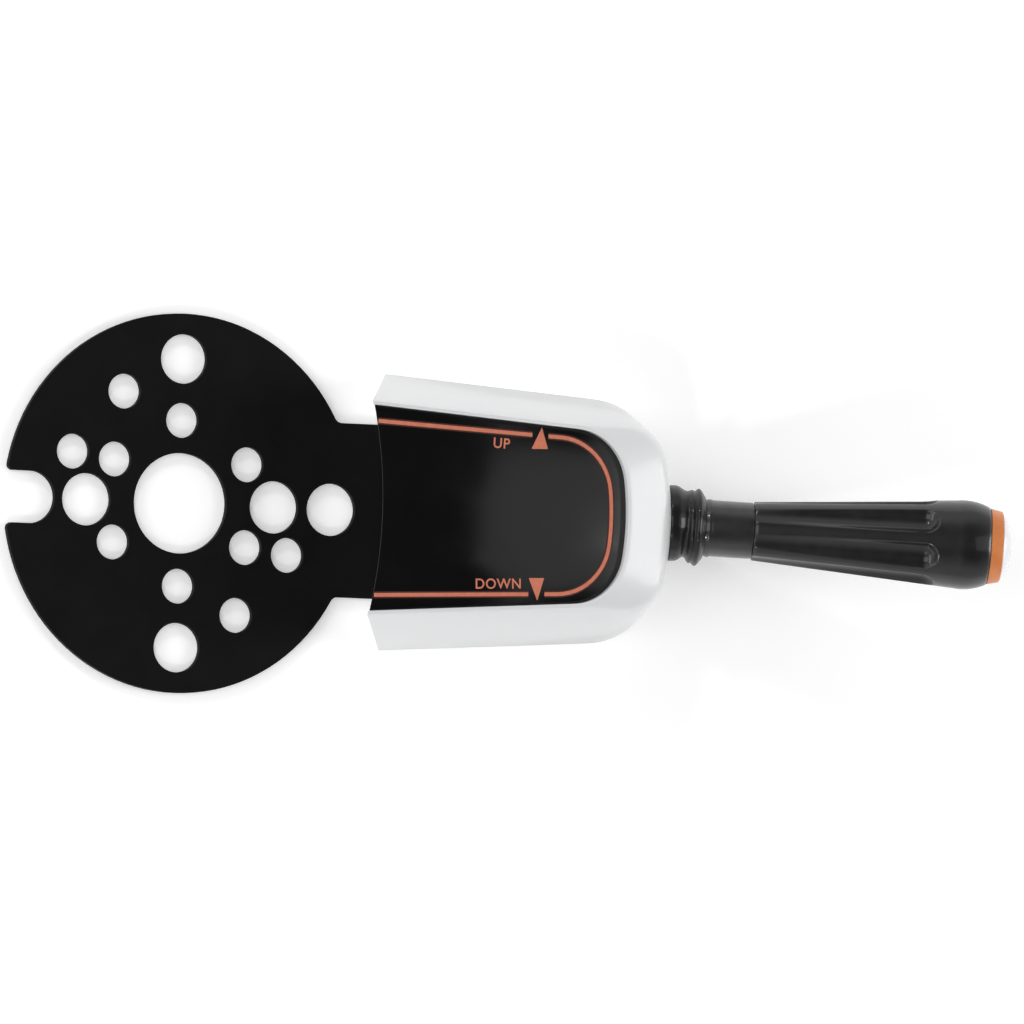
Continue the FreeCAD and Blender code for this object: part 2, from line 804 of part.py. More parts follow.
def back_cover():
    body = new_body("back_cover")
    left = end_of_housing(0.0) + s.end_wall + s.fit_gap
    outline = new_sketch(body, "outline")
    lean = s.plate_thickness * (s.base_half_width - s.face_half_width) / s.face_height
    nose_outline(outline, base_outline(s.wall + s.fit_gap + lean, cover_nose + s.wall + s.fit_gap), left)
    extrude(body, "Pad", outline, s.plate_thickness)
    half = tongue_half + s.fit_gap
    notch = new_sketch(body, "tongue_notch")
    rectangle(notch, 0.0, s.tongue_reach + s.fit_gap, -half, half)
    extrude(body, "Pocket", notch, s.plate_thickness)
    holes = circles(new_sketch(body, "screw_holes"), cover_boss_places, s.cover_screw_radius + s.thread_gap)
    extrude(body, "Pocket", holes, s.plate_thickness)
    wires = new_sketch(body, "grommet_hole")
    circles(wires, [(grommet_x, -grommet_side)], s.grommet_hole_radius)
    extrude(body, "Pocket", wires, s.plate_thickness)
    for x, y in cover_boss_places:
        countersink(body, x, y, s.cover_screw_radius)
    return body


def cover_gasket():
    """A flat rubber band over the seam between the tongue and the cover."""
    body = new_body("cover_gasket")
    left = end_of_housing(s.plate_thickness) + s.end_wall + s.fit_gap * 3
    inner_half = tongue_half - s.gasket_overlap
    outer_half = inner_half + s.gasket_width
    inner_reach = s.tongue_reach - s.gasket_end_overlap
    outer_reach = inner_reach + s.gasket_end_width
    points = [
        (left, inner_half),
        (inner_reach, inner_half),
        (inner_reach, -inner_half),
        (left, -inner_half),
        (left, -outer_half),
        (outer_reach, -outer_half),
        (outer_reach, outer_half),
        (left, outer_half),
    ]
    band = profile(new_sketch(body, "band", height=s.plate_thickness), points)
    extrude(body, "Pad", band, s.gasket_thickness)
    return body


def wire_grommet():
    body = new_body("wire_grommet")
    neck, flange = s.grommet_hole_radius - s.thread_gap, s.grommet_flange_radius
    bore, top = s.grommet_bore_radius, s.plate_thickness + s.grommet_flange_thickness
    low, seat = s.grommet_recess, s.plate_thickness
    points = [(bore, low), (neck, low), (neck, seat), (flange, seat), (flange, top), (bore, top)]
    revolve(body, points)
    body.Placement = at(grommet_x, -grommet_side)
    return body


def pivot_bracket():
    """A folded strap over the hub, screwed to the tongue on both sides."""
    body = new_body("pivot_bracket")
    inner = s.bracket_span / 2
    outer, foot = inner + s.bracket_thickness, inner + s.bracket_foot + s.bracket_thickness
    low, step = s.plate_thickness, s.plate_thickness + s.bracket_thickness
    right = [(inner, low), (foot, low), (foot, step), (outer, step), (outer, bracket_top)]
    left = [(-x, z) for x, z in reversed(right)]
    points = right + left + [(-inner, bracket_underside), (inner, bracket_underside)]
    strap = profile(new_sketch(body, "strap", "YZ_Plane", pivot_x - s.bracket_width / 2), points)
    extrude(body, "Pad", strap, s.bracket_width)
    for name, places, radius in (
        ("pin_hole", [(pivot_x, 0.0)], s.pin_radius + s.running_gap),
        ("foot_holes", bracket_screw_places, s.bracket_screw_radius + s.thread_gap),
    ):
        extrude(body, "Pocket", circles(new_sketch(body, name), places, radius), bracket_top * 2)
    return body


def pivot_pin():
    body = new_body("pivot_pin")
    groove_low = bracket_top + s.running_gap
    groove_high = groove_low + s.clip_thickness + s.running_gap
    waist = s.pin_radius - s.groove_depth
    points = [
        (0.0, s.running_gap),
        (s.pin_radius, s.running_gap),
        (s.pin_radius, groove_low),
        (waist, groove_low),
        (waist, groove_high),
        (s.pin_radius, groove_high),
        (s.pin_radius, s.pin_length),
        (0.0, s.pin_length),
    ]
    revolve(body, points)
    body.Placement = at(pivot_x)
    return body


def pivot_pin_clip():
    """A retaining ring with a mouth as wide as the groove it snaps over."""
    body = new_body("pivot_pin_clip")
    waist = s.pin_radius - s.groove_depth + s.running_gap
    height = bracket_top + s.running_gap * 1.5
    ring = circles(new_sketch(body, "ring", height=height), [(0.0, 0.0)], s.clip_radius)
    circles(ring, [(0.0, 0.0)], waist)
    extrude(body, "Pad", ring, s.clip_thickness)
    opening = waist * s.clip_mouth_share
    mouth = rectangle(new_sketch(body, "mouth", height=height), 0.0, s.clip_radius * 2, -opening, opening)
    extrude(body, "Pocket", mouth, s.clip_thickness)
    body.Placement = at(pivot_x)
    return body


def boot():
    """The flange half sits square on the wall, and the collar half follows the drooping lever."""
    base = new_body("boot_base", is_node=False)
    lip_top = -s.boot_wall
    waist_bore = s.boot_waist_radius - s.boot_skin
    points = [
        (s.boot_flange_radius, 0.0),
        (s.boot_flange_radius, s.boot_flange),
        (s.boot_waist_radius, s.boot_waist),
        (waist_bore, s.boot_waist),
        (waist_bore, s.boot_flange),
        (s.boot_bore_radius, 0.0),
        (s.boot_bore_radius, lip_top - s.boot_lip),
        (s.boot_lip_radius, lip_top - s.boot_lip),
        (s.boot_lip_radius, lip_top),
        (s.boot_hole_radius, lip_top),
        (s.boot_hole_radius, 0.0),
    ]
    revolve(base, points)
    base.Placement = wall_frame
    collar = new_body("boot_collar", is_node=False)
    sleeve_bore = s.neck_radius + s.boot_gap
    ring_low, ring_high = s.boot_ring - s.boot_ring_half, s.boot_ring + s.boot_ring_half
    waist_low = s.boot_waist - s.boot_overlap
    points = [
        (waist_bore, waist_low),
        (s.boot_waist_radius, waist_low),
        (s.boot_waist_radius, s.boot_waist),
        (s.boot_ring_radius, ring_low),
        (s.boot_ring_radius, ring_high),
        (s.boot_end_radius, s.boot_end),
        (sleeve_bore, s.boot_end),
        (sleeve_bore, ring_low),
        (waist_bore, ring_low),
    ]
    revolve(collar, points, {3: s.boot_ring_arc})
    collar.Placement = lever_frame
    return solid_node("lever_boot", fused("lever_boot", [base, collar]))


def boot_retainer():
    body = new_body("boot_retainer")
    top = -s.boot_wall - s.boot_lip
    low = top - s.retainer_thickness
    revolve(
        body,
        [
            (s.retainer_bore_radius, low),
            (s.retainer_radius, low),
            (s.retainer_radius, top),
            (s.retainer_bore_radius, top),
        ],
    )
    body.Placement = wall_frame
    return body


def switch_case():
    body = new_body("switch_case")
    half, wall = s.case_half_width, s.case_wall
    floor = new_sketch(body, "outside", height=s.plate_thickness)
    outside = rectangle(floor, case_left, case_end, -half, half)
    extrude(body, "Pad", outside, s.case_height)
    inside = new_sketch(body, "inside", height=case_floor)
    rectangle(inside, case_left + wall, case_end - wall, -half + wall, half - wall)
    extrude(body, "Pocket", inside, s.case_height)
    posts = circles(new_sketch(body, "posts", height=s.plate_thickness), case_post_places, s.case_post_radius)
    extrude(body, "Pad", posts, s.case_height)
    rib_half = case_post_side - s.case_post_radius - s.fit_gap
    carriage_end = carriage_left + s.carriage_length
    for name, left in (
        ("front_rib", carriage_left - s.slide_gap - s.rib_width),
        ("rear_rib", carriage_end + s.slide_gap),
    ):
        rib = new_sketch(body, name, height=s.plate_thickness)
        rectangle(rib, left, left + s.rib_width, -rib_half, rib_half)
        extrude(body, "Pad", rib, wall + s.rib_height)
    bores = circles(new_sketch(body, "bores"), case_post_places, s.case_screw_radius + s.thread_gap)
    extrude(body, "Pocket", bores, case_top * 2)
    swing = s.tail_half_width + s.tail_length * sine(s.lever_travel)
    tail_slot = new_sketch(body, "tail_slot", height=s.tail_height - s.slide_gap * 2)
    rectangle(tail_slot, case_end - wall * 2, case_end + wall, -swing, swing)
    extrude(body, "Pocket", tail_slot, s.case_height)
    for name, side in terminal_sides():
        slit = new_sketch(body, f"{name}_slit", height=case_floor)
        low, high = side - s.terminal_width / 2, side + s.terminal_width / 2
        near, far = case_left - wall, case_left + wall * 1.5
        rectangle(slit, near, far, low - s.thread_gap, high + s.thread_gap)
        extrude(body, "Pocket", slit, s.contact_thickness + s.thread_gap)
    return body


def terminal_sides():
    """The middle of each terminal blade across the case."""
    offset = contact_side() + s.terminal_width / 2
    return (("up", offset), ("common", Size(0.0, "0")), ("down", -offset))


def contact_side():
    """How far a fixed contact's face is from the middle: the carriage stops just short of it."""
    return s.tail_length * sine(s.lever_travel) + s.contact_thickness / 2 + s.contact_gap


def terminal(name, side):
    body = new_body(f"terminal_{name}")
    low, high = side - s.terminal_width / 2, side + s.terminal_width / 2
    left, right = case_left - s.terminal_out, case_left + s.terminal_reach
    blade = rectangle(new_sketch(body, "blade", height=case_floor), left, right, low, high)
    extrude(body, "Pad", blade, s.contact_thickness)
    if name != "common":
        face = low if name == "up" else high - s.contact_thickness
        upright = new_sketch(body, "upright", height=case_floor)
        rectangle(upright, right - s.terminal_upright, right, face, face + s.contact_thickness)
        extrude(body, "Pad", upright, s.terminal_upright_height)
    eye = circles(new_sketch(body, "eye"), [(left + s.terminal_eye_distance, side)], s.terminal_eye_radius)
    extrude(body, "Pocket", eye, case_top)
    return body


def switch_case_lid():
    body = new_body("switch_case_lid")
    half = s.case_half_width
    plate = rectangle(new_sketch(body, "plate", height=case_top), case_left, case_end, -half, half)
    extrude(body, "Pad", plate, s.lid_thickness)
    holes = circles(new_sketch(body, "holes"), case_post_places, s.case_screw_radius + s.thread_gap)
    extrude(body, "Pocket", holes, case_top * 2)
    return body


def return_spring(name, sign):
    """One of the two springs that push the carriage back to the middle."""
    free = s.case_half_width - s.case_wall - s.carriage_half_width - rest_shift * sign
    height = free - (s.spring_gap + s.spring_wire_radius) * 2
    start = s.carriage_half_width + s.spring_gap + s.spring_wire_radius + rest_shift * sign
    helix = doc.addObject("Part::Helix", f"{name}_helix")
    bind(helix, "Radius", s.spring_radius)
    bind(helix, "Height", height)
    bind(helix, "Pitch", height / s.spring_turns)
    wire = doc.addObject("Part::Circle", f"{name}_wire")
    bind(wire, "Radius", s.spring_wire_radius)
    wire.Placement = at(s.spring_radius, axis=Vector(1, 0, 0), angle=90)
    coil = doc.addObject("Part::Sweep", name)
    coil.Sections = [wire]
    coil.Spine = (helix, ["Edge1"])
    coil.Solid = True
    coil.Frenet = True
    height_at = case_floor + s.slide_gap + s.carriage_height / 2
    coil.Placement = at(datum + s.spring_distance, start * sign, height_at, Vector(1, 0, 0), -90 * sign)
    return solid_node(name, coil)


def contact_carriage():
    body = new_body("contact_carriage")
    low = case_floor + s.slide_gap
    half, start = s.carriage_half_width, carriage_left
    block = rectangle(new_sketch(body, "block", height=low), start, start + s.carriage_length, -half, half)
    extrude(body, "Pad", block, s.carriage_height)
    pin_at = pivot_x - s.tail_length
    swing_in = s.tail_length * (1 - cosine(s.lever_travel))
    reach, side = s.drive_pin_radius + swing_in + s.slot_play * 2, s.drive_pin_radius + s.slot_play
    slot = rectangle(new_sketch(body, "pin_slot", height=low), pin_at - reach, pin_at + reach, -side, side)
    extrude(body, "Pocket", slot, s.carriage_height)
    blade_half = s.contact_thickness / 2 + s.thread_gap
    hold = new_sketch(body, "contact_slot", height=low)
    rectangle(hold, start - s.fit_gap, start + s.contact_hold, -blade_half, blade_half)
    extrude(body, "Pocket", hold, s.carriage_height)
    body.Placement = at(y=rest_shift)
    return body


def moving_contact():
    body = new_body("moving_contact")
    right = carriage_left + s.contact_hold
    half = s.contact_thickness / 2
    blade = new_sketch(body, "blade", height=case_floor + s.contact_lift)
    rectangle(blade, right - s.contact_length, right, -half, half)
    extrude(body, "Pad", blade, s.contact_height)
    body.Placement = at(y=rest_shift)
    return body


def lever_arm():
    """The hub on the pin, the tail that works the switch and the rod that carries the grip."""
    hub = cylinder("hub", s.hub_radius, s.hub_length, at(pivot_x, 0, hub_bottom))
    tail = doc.addObject("Part::Box", "tail")
    bind(tail, "Length", s.tail_length)
    bind(tail, "Width", s.tail_half_width * 2)
    bind(tail, "Height", s.tail_thickness)
    tail_end = pivot_x - s.tail_length
    tail.Placement = at(tail_end, -s.tail_half_width, s.tail_height)
    tip_place = at(tail_end, 0, s.tail_height)
    tail_tip = cylinder("tail_tip", s.tail_half_width, s.tail_thickness, tip_place)
    behind_wall = (wall_distance - pivot_x) / cosine(s.lever_rise) - s.rod_start
    rod = cylinder("rod", s.rod_radius, behind_wall + s.rod_end, wall_frame.multiply(at(z=-behind_wall)))
    blank = fused("arm_blank", [hub, tail, tail_tip, rod])
    hub_place = at(pivot_x, 0, hub_bottom)
    bore = cylinder("hub_bore", s.bush_radius + s.thread_gap, s.hub_length, hub_place)
    pin_bore = cylinder(
        "drive_pin_bore",
        s.drive_pin_radius + s.thread_gap,
        s.tail_thickness,
        at(pivot_x - s.tail_length, 0, s.tail_height),
    )
    depth = s.grip_screw_length + s.washer_thickness
    tapped = cylinder(
        "grip_screw_bore",
        s.grip_screw_radius + s.thread_gap,
        depth,
        wall_frame.multiply(at(z=s.rod_end - depth)),
    )
    arm = cut_of("lever_arm", blank, fused("arm_bores", [bore, pin_bore, tapped]))
    arm.Placement = droop
    return solid_node("lever_arm", arm)


def bush(name, seat, away):
    """A flanged bush in one end of the hub. away is 1 for the upper one and -1 for the lower."""
    body = new_body(name)
    bore, flange = s.pin_radius + s.running_gap, s.bush_flange_radius
    rim, deep = seat + s.bush_flange_thickness * away, seat - s.bush_length * away
    body_radius = s.bush_radius
    points = [
        (bore, rim),
        (flange, rim),
        (flange, seat),
        (body_radius, seat),
        (body_radius, deep),
        (bore, deep),
    ]
    revolve(body, points)
    body.Placement = at(pivot_x)
    return body


def drive_pin():
    body = new_body("drive_pin")
    top = s.tail_height + s.tail_thickness
    low = s.tail_height - s.drive_pin_drop
    head, head_top = s.drive_pin_head_radius, top + s.drive_pin_head_height
    points = [
        (0.0, low),
        (s.drive_pin_radius, low),
        (s.drive_pin_radius, top),
        (head, top),
        (head, head_top),
        (0.0, head_top),
    ]
    revolve(body, points)
    body.Placement = droop.multiply(at(pivot_x - s.tail_length))
    return body


def neck_sleeve():
    body = new_body("neck_sleeve")
    bore, low, high = s.rod_radius + s.thread_gap, s.neck_start, s.grip_start
    revolve(body, [(bore, low), (s.neck_radius, low), (s.neck_radius, high), (bore, high)])
    body.Placement = lever_frame
    return body


def grip():
    body = new_body("grip")
    bore, pocket = s.core_radius + s.thread_gap, s.grip_pocket_radius
    deep = s.rod_end + s.washer_thickness / 2
    points = [
        (bore, s.grip_start),
        (s.grip_start_radius, s.grip_start),
        (s.grip_swell_radius, s.grip_swell_start),
        (s.grip_end_radius, s.grip_end),
        (pocket, s.grip_end),
        (pocket, deep),
        (bore, deep),
    ]
    revolve(body, points, {2: s.grip_swell_arc})
    flute(body)
    body.Placement = lever_frame.multiply(at(angle=180 - s.flute_angle))
    return body


def flute(body):
    """Round-ended flutes that deepen as the grip swells, each cut by a leaning capsule."""
    swell = (s.grip_swell_radius - s.grip_start_radius) / (s.grip_swell_start - s.grip_start)
    start_floor = s.grip_start_radius - s.flute_start_depth
    end_floor = s.grip_start_radius + (s.flute_end - s.grip_start) * swell - s.flute_end_depth
    lean = arctangent((end_floor - start_floor) / (s.flute_end - s.grip_start))
    out, along = (cosine(lean), -sine(lean)), (sine(lean), cosine(lean))
    radius = s.flute_radius
    floor_start = (start_floor - radius * along[0], s.grip_start - radius * along[1])
    floor_end = (end_floor, s.flute_end)
    axis_start = (floor_start[0] + radius * out[0], floor_start[1] + radius * out[1])
    tip = (end_floor + radius * (out[0] + along[0]), s.flute_end + radius * (out[1] + along[1]))
    sketch = new_sketch(body, "flute", "XZ_Plane")
    profile(sketch, [axis_start, floor_start, floor_end, tip], {2: -radius})
    ends = [Vector(float(x), float(y), 0) for x, y in (tip, axis_start)]
    axis = sketch.addGeometry(Part.LineSegment(*ends), True)
    sketch.addConstraint(Sketcher.Constraint("Coincident", axis, 1, 3, 1))
    sketch.addConstraint(Sketcher.Constraint("Coincident", axis, 2, 0, 1))
    groove = body.newObject("PartDesign::Groove", "flute_groove")
    groove.Profile = sketch
    groove.ReferenceAxis = (sketch, ["Axis0"])
    groove.Angle = 360
    pattern = body.newObject("PartDesign::PolarPattern", "flutes")
    pattern.Originals = [groove]
    pattern.Axis = (next(f for f in body.Origin.OriginFeatures if f.Role == "Z_Axis"), [""])
    pattern.Angle = 360
    pattern.Occurrences = int(s.flute_count)
    body.Tip = pattern


def grip_core():
    body = new_body("grip_core")
    bore, low, high = s.rod_radius + s.thread_gap, s.grip_start, s.rod_end + s.washer_thickness / 2
    revolve(body, [(bore, low), (s.core_radius, low), (s.core_radius, high), (bore, high)])
    body.Placement = lever_frame
    return body


def grip_washer():
    body = new_body("grip_washer")
    low = s.rod_end + s.washer_thickness / 2
    bore, high = s.grip_screw_radius + s.thread_gap, low + s.washer_thickness
    revolve(body, [(bore, low), (s.washer_radius, low), (s.washer_radius, high), (bore, high)])
    body.Placement = lever_frame
    return body


def grip_screw():
    seat = s.rod_end + s.washer_thickness * 1.5
    head = cylinder("grip_screw_head", s.grip_screw_head_radius, s.grip_screw_head_height, at(z=seat))
    length = s.grip_screw_length
    shank = cylinder("grip_screw_shank", s.grip_screw_radius, length, at(z=seat - length))
    half = s.grip_screw_head_height / 2
    socket = hex_recess("grip_screw_socket", s.grip_screw_head_radius / 2, half, at(z=seat + half))
    screw = cut_of("grip_screw", fused("grip_screw_blank", [head, shank]), socket)
    screw.Placement = lever_frame
    return solid_node("grip_screw", screw)


def accent_ring():
    body = new_body("accent_ring")
    bore = s.spigot_radius + s.thread_gap
    points = [
        (bore, s.grip_end),
        (s.ring_start_radius, s.grip_end),
        (s.ring_end_radius, s.ring_end),
        (bore, s.ring_end),
    ]
    revolve(body, points)
    body.Placement = lever_frame
    return body


def end_cap():
    body = new_body("end_cap")
    inside, under = s.spigot_radius - s.cap_wall, s.cap_end - s.cap_roof
    points = [
        (s.spigot_radius, s.spigot_start),
        (s.spigot_radius, s.ring_end),
        (s.cap_radius, s.ring_end),
        (0.0, s.cap_end),
        (0.0, under),
        (inside, under),
        (inside, s.spigot_start),
    ]
    rise = s.cap_end - s.ring_end
    revolve(body, points, {2: (s.cap_radius * s.cap_radius + rise * rise) / (rise * 2)})
    body.Placement = lever_frame
    return body


mounting_plate()
housing_shell()
face_panel()
push_nuts()
back_cover()
cover_gasket()
wire_grommet()
countersunk_screws("cover_screws", cover_boss_places, s.cover_screw_radius, s.cover_screw_length)
countersunk_screws("tongue_screws", tongue_boss_places, s.tongue_screw_radius, s.tongue_screw_length)
pivot_bracket()
headed_screws(
    "bracket_screws",
    bracket_screw_places,
    s.plate_thickness + s.bracket_thickness,
    s.running_gap,
    s.bracket_screw_radius,
    s.bracket_screw_head_radius,
    s.bracket_screw_head_height,
)
pivot_pin()
pivot_pin_clip()
boot()
boot_retainer()
switch_case()
switch_case_lid()
headed_screws(
    "case_screws",
    case_post_places,
    case_top + s.lid_thickness,
    s.running_gap,
    s.case_screw_radius,
    s.case_screw_head_radius,
    s.case_screw_head_height,
)
for name, side in terminal_sides():
    terminal(name, side)
return_spring("return_spring_upper", 1)
return_spring("return_spring_lower", -1)
contact_carriage()
moving_contact()
lever_arm()
bush("upper_bush", hub_top, 1)
bush("lower_bush", hub_bottom, -1)
drive_pin()
neck_sleeve()
grip()
grip_core()
grip_washer()
grip_screw()
accent_ring()
end_cap()

doc.recompute()
for thing in doc.Objects:
    if "Invalid" in thing.State or "Error" in thing.State:
        raise RuntimeError(f"{thing.Name} failed: {thing.State}")
for node in nodes:
    if node.Shape.isNull() or not node.Shape.isValid():
        raise RuntimeError(f"{node.Label} has no valid shape")
os.makedirs("parts", exist_ok=True)
for node in nodes:
    node.Shape.exportStep(f"parts/{node.Label}.step")
print(len(nodes), "nodes written")
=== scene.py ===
# Trim control lever switch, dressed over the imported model. Lengths in calls are in millimetres.
import json
import math

import bmesh
import bpy
from mathutils import Matrix, Vector


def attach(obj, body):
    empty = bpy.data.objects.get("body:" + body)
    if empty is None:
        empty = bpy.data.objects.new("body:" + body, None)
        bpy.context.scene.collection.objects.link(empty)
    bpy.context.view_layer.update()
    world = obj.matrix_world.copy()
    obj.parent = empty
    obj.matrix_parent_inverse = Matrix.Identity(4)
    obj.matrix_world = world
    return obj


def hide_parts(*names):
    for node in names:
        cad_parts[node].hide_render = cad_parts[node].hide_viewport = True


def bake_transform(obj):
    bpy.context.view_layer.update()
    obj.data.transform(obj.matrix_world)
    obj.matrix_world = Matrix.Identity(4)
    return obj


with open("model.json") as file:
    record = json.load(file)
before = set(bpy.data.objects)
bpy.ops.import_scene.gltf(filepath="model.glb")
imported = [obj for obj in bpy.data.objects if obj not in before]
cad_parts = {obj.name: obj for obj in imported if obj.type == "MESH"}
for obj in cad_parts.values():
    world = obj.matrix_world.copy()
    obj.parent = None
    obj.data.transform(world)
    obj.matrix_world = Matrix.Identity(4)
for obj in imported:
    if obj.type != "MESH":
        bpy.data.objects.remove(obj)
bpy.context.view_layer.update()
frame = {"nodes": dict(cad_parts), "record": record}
scene = bpy.context.scene

# Sizes of the housing and the lever, as in the part's source
PLATE_TOP = 2.5
FACE_HEIGHT = 36.0
SHOULDER_HEIGHT = 30.0
PANEL_SEAT = 32.5
PANEL_TOP = 34.0
DATUM = 65.0
FACE_HALF = 38.6
BASE_HALF = 51.6
FACE_TIP = 164.2
BASE_TIP = 193.0
LEVER_RISE = 18.5
LEVER_DROOP = 2.2
PIVOT = 164.0
BASE_CORNER = 29.5
SHOULDER_CORNER = 14.0
FACE_CORNER = 22.0
NOSE_RADIUS = 100.0
END_ARC = 170.0
SIDE_TAPER = 4.0
WALL = 2.5
END_WALL = 3.5
ROOF_UNDERSIDE = 30.0
LIP = 1.3
PANEL_INSET = 1.4
TONGUE_BOSS = (99.0, 24.0)
TONGUE_BOSS_RADIUS = 4.5
COVER_BOSSES = ((104.0, 41.9), (148.0, 38.9), (178.8, 23.0))
COVER_BOSS_RADIUS = 3.2
STUD_DISTANCES = (88.0, 138.0)
STUD_SIDE = 22.0
LEVER_HEIGHT = 15.0
END_RAKE = math.tan(math.radians(33.0))
NOSE_LEAN = math.tan(math.radians(LEVER_RISE))


def mm(x, y=0.0, z=0.0):
    return Vector((x, y, z)) * 0.001


wall_place = Matrix.Translation(mm(BASE_TIP - LEVER_HEIGHT * NOSE_LEAN, 0, LEVER_HEIGHT))
wall_place = wall_place @ Matrix.Rotation(math.radians(90 - LEVER_RISE), 4, "Y")
pivot_place = Matrix.Translation(mm(PIVOT))
droop = pivot_place @ Matrix.Rotation(math.radians(-LEVER_DROOP), 4, "Z") @ pivot_place.inverted()
lever_place = droop @ wall_place


# Finishes
class Finish:
    """A Principled material whose patterns follow Object coordinates."""

    def __init__(self, name, colour, roughness, **sockets):
        self.material = bpy.data.materials.new(name)
        self.material.use_nodes = True
        self.material.diffuse_color = (*colour, 1.0)
        self.tree = self.material.node_tree
        self.shader = self.tree.nodes["Principled BSDF"]
        self.shader.inputs["Base Color"].default_value = (*colour, 1.0)
        self.shader.inputs["Roughness"].default_value = roughness
        for socket, value in sockets.items():
            self.shader.inputs[socket.replace("_", " ")].default_value = value
        self.place = self.tree.nodes.new("ShaderNodeTexCoord").outputs["Object"]
        self.height = None

    def stretched(self, x, y, z):
        mapping = self.tree.nodes.new("ShaderNodeMapping")
        mapping.inputs["Scale"].default_value = (x, y, z)
        self.tree.links.new(self.place, mapping.inputs["Vector"])
        return mapping.outputs["Vector"]

    def noise(self, size, detail=3.0, vector=None):
        """Cloudy noise; size is that of a blotch in millimetres."""
        node = self.tree.nodes.new("ShaderNodeTexNoise")
        node.inputs["Scale"].default_value = 1000.0 / size
        node.inputs["Detail"].default_value = detail
        self.tree.links.new(vector or self.place, node.inputs["Vector"])
        return node.outputs["Fac"]

    def cells(self, size):
        node = self.tree.nodes.new("ShaderNodeTexVoronoi")
        node.inputs["Scale"].default_value = 1000.0 / size
        self.tree.links.new(self.place, node.inputs["Vector"])
        return node.outputs["Distance"]

    def tint(self, pattern, dark, light, low=0.35, high=0.65):
        ramp = self.tree.nodes.new("ShaderNodeValToRGB")
        ends = ramp.color_ramp.elements
        ends[0].position, ends[1].position = low, high
        ends[0].color, ends[1].color = (*dark, 1.0), (*light, 1.0)
        self.tree.links.new(pattern, ramp.inputs["Fac"])
        self.tree.links.new(ramp.outputs["Color"], self.shader.inputs["Base Color"])
        return self

    def gloss(self, pattern, low, high):
        """Lets the roughness wander between two values."""
        spread = self.tree.nodes.new("ShaderNodeMapRange")
        spread.inputs["From Min"].default_value = 0.3
        spread.inputs["From Max"].default_value = 0.7
        spread.inputs["To Min"].default_value = low
        spread.inputs["To Max"].default_value = high
        self.tree.links.new(pattern, spread.inputs["Value"])
        self.tree.links.new(spread.outputs["Result"], self.shader.inputs["Roughness"])
        return self

    def bump(self, pattern, depth):
        """Adds a relief; depth is in millimetres."""
        node = self.tree.nodes.new("ShaderNodeBump")
        node.inputs["Distance"].default_value = depth * 0.001
        self.tree.links.new(pattern, node.inputs["Height"])
        if self.height:
            self.tree.links.new(self.height, node.inputs["Normal"])
        self.height = node.outputs["Normal"]
        self.tree.links.new(self.height, self.shader.inputs["Normal"])
        return self


def powder_coat():
    coat = Finish("plate_powder_coat", (0.004, 0.004, 0.0042), 0.6, Specular_IOR_Level=0.1)
    coat.tint(coat.noise(14.0), (0.0033, 0.0033, 0.0035), (0.0045, 0.0045, 0.0047))
    coat.gloss(coat.noise(5.0), 0.5, 0.64)
    return coat.bump(coat.noise(0.9, 2.0), 0.02).material


def shell_gloss():
    white = Finish("shell_white_gloss", (0.76, 0.765, 0.775), 0.32, Coat_Weight=0.3, Coat_Roughness=0.14)
    white.tint(white.noise(60.0, 0.0), (0.75, 0.755, 0.765), (0.77, 0.775, 0.785), 0.2, 0.8)
    return white.gloss(white.noise(60.0, 0.0), 0.3, 0.34).material


def panel_gloss():
    black = Finish("panel_black_gloss", (0.004, 0.004, 0.004), 0.16)
    black.tint(black.noise(30.0), (0.0035, 0.0035, 0.0036), (0.0048, 0.0047, 0.0047))
    black.gloss(black.noise(18.0), 0.13, 0.2)
    return black.bump(black.noise(12.0, 1.0), 0.004).material


def print_ink(name, colour):
    ink = Finish(name, colour, 0.4)
    shade = tuple(part * 0.86 for part in colour)
    ink.tint(ink.noise(1.6), shade, colour)
    return ink.bump(ink.noise(0.5), 0.004).material


def boot_rubber():
    coat = {"Coat_Weight": 0.5, "Coat_Roughness": 0.1, "Specular_IOR_Level": 0.15}
    rubber = Finish("boot_rubber", (0.01, 0.01, 0.011), 0.4, **coat)
    rubber.tint(rubber.noise(3.5, 1.0), (0.008, 0.008, 0.009), (0.013, 0.012, 0.012))
    rubber.gloss(rubber.noise(3.0, 0.0), 0.38, 0.44)
    return rubber.bump(rubber.noise(0.6, 0.0), 0.002).material


def sleeve_satin():
    satin = Finish("sleeve_satin_black", (0.02, 0.02, 0.021), 0.36, Coat_Weight=0.5, Coat_Roughness=0.1)
    satin.tint(satin.noise(6.0, 1.0), (0.017, 0.017, 0.018), (0.023, 0.023, 0.024))
    return satin.gloss(satin.noise(5.0, 0.0), 0.34, 0.38).material


def grip_soft_touch():
    coat = {"Coat_Weight": 0.5, "Coat_Roughness": 0.08, "Specular_IOR_Level": 0.3}
    soft = Finish("grip_soft_touch", (0.011, 0.011, 0.012), 0.36, **coat)
    soft.tint(soft.noise(8.0, 1.0), (0.009, 0.009, 0.01), (0.012, 0.012, 0.013))
    soft.gloss(soft.noise(4.0, 0.0), 0.34, 0.4)
    return soft.bump(soft.noise(0.6, 0.0), 0.002).material


def ring_orange():
    orange = Finish("ring_satin_orange", (0.72, 0.24, 0.07), 0.38)
    orange.tint(orange.noise(7.0), (0.66, 0.21, 0.06), (0.76, 0.26, 0.08))
    return orange.bump(orange.noise(0.8), 0.006).material


def cap_pearl():
    pearl = Finish("cap_pale_gloss", (0.78, 0.78, 0.8), 0.24, Coat_Weight=0.5, Coat_Roughness=0.1)
    pearl.tint(pearl.noise(10.0), (0.75, 0.75, 0.78), (0.8, 0.79, 0.8))
    return pearl.gloss(pearl.noise(9.0, 0.0), 0.22, 0.26).material


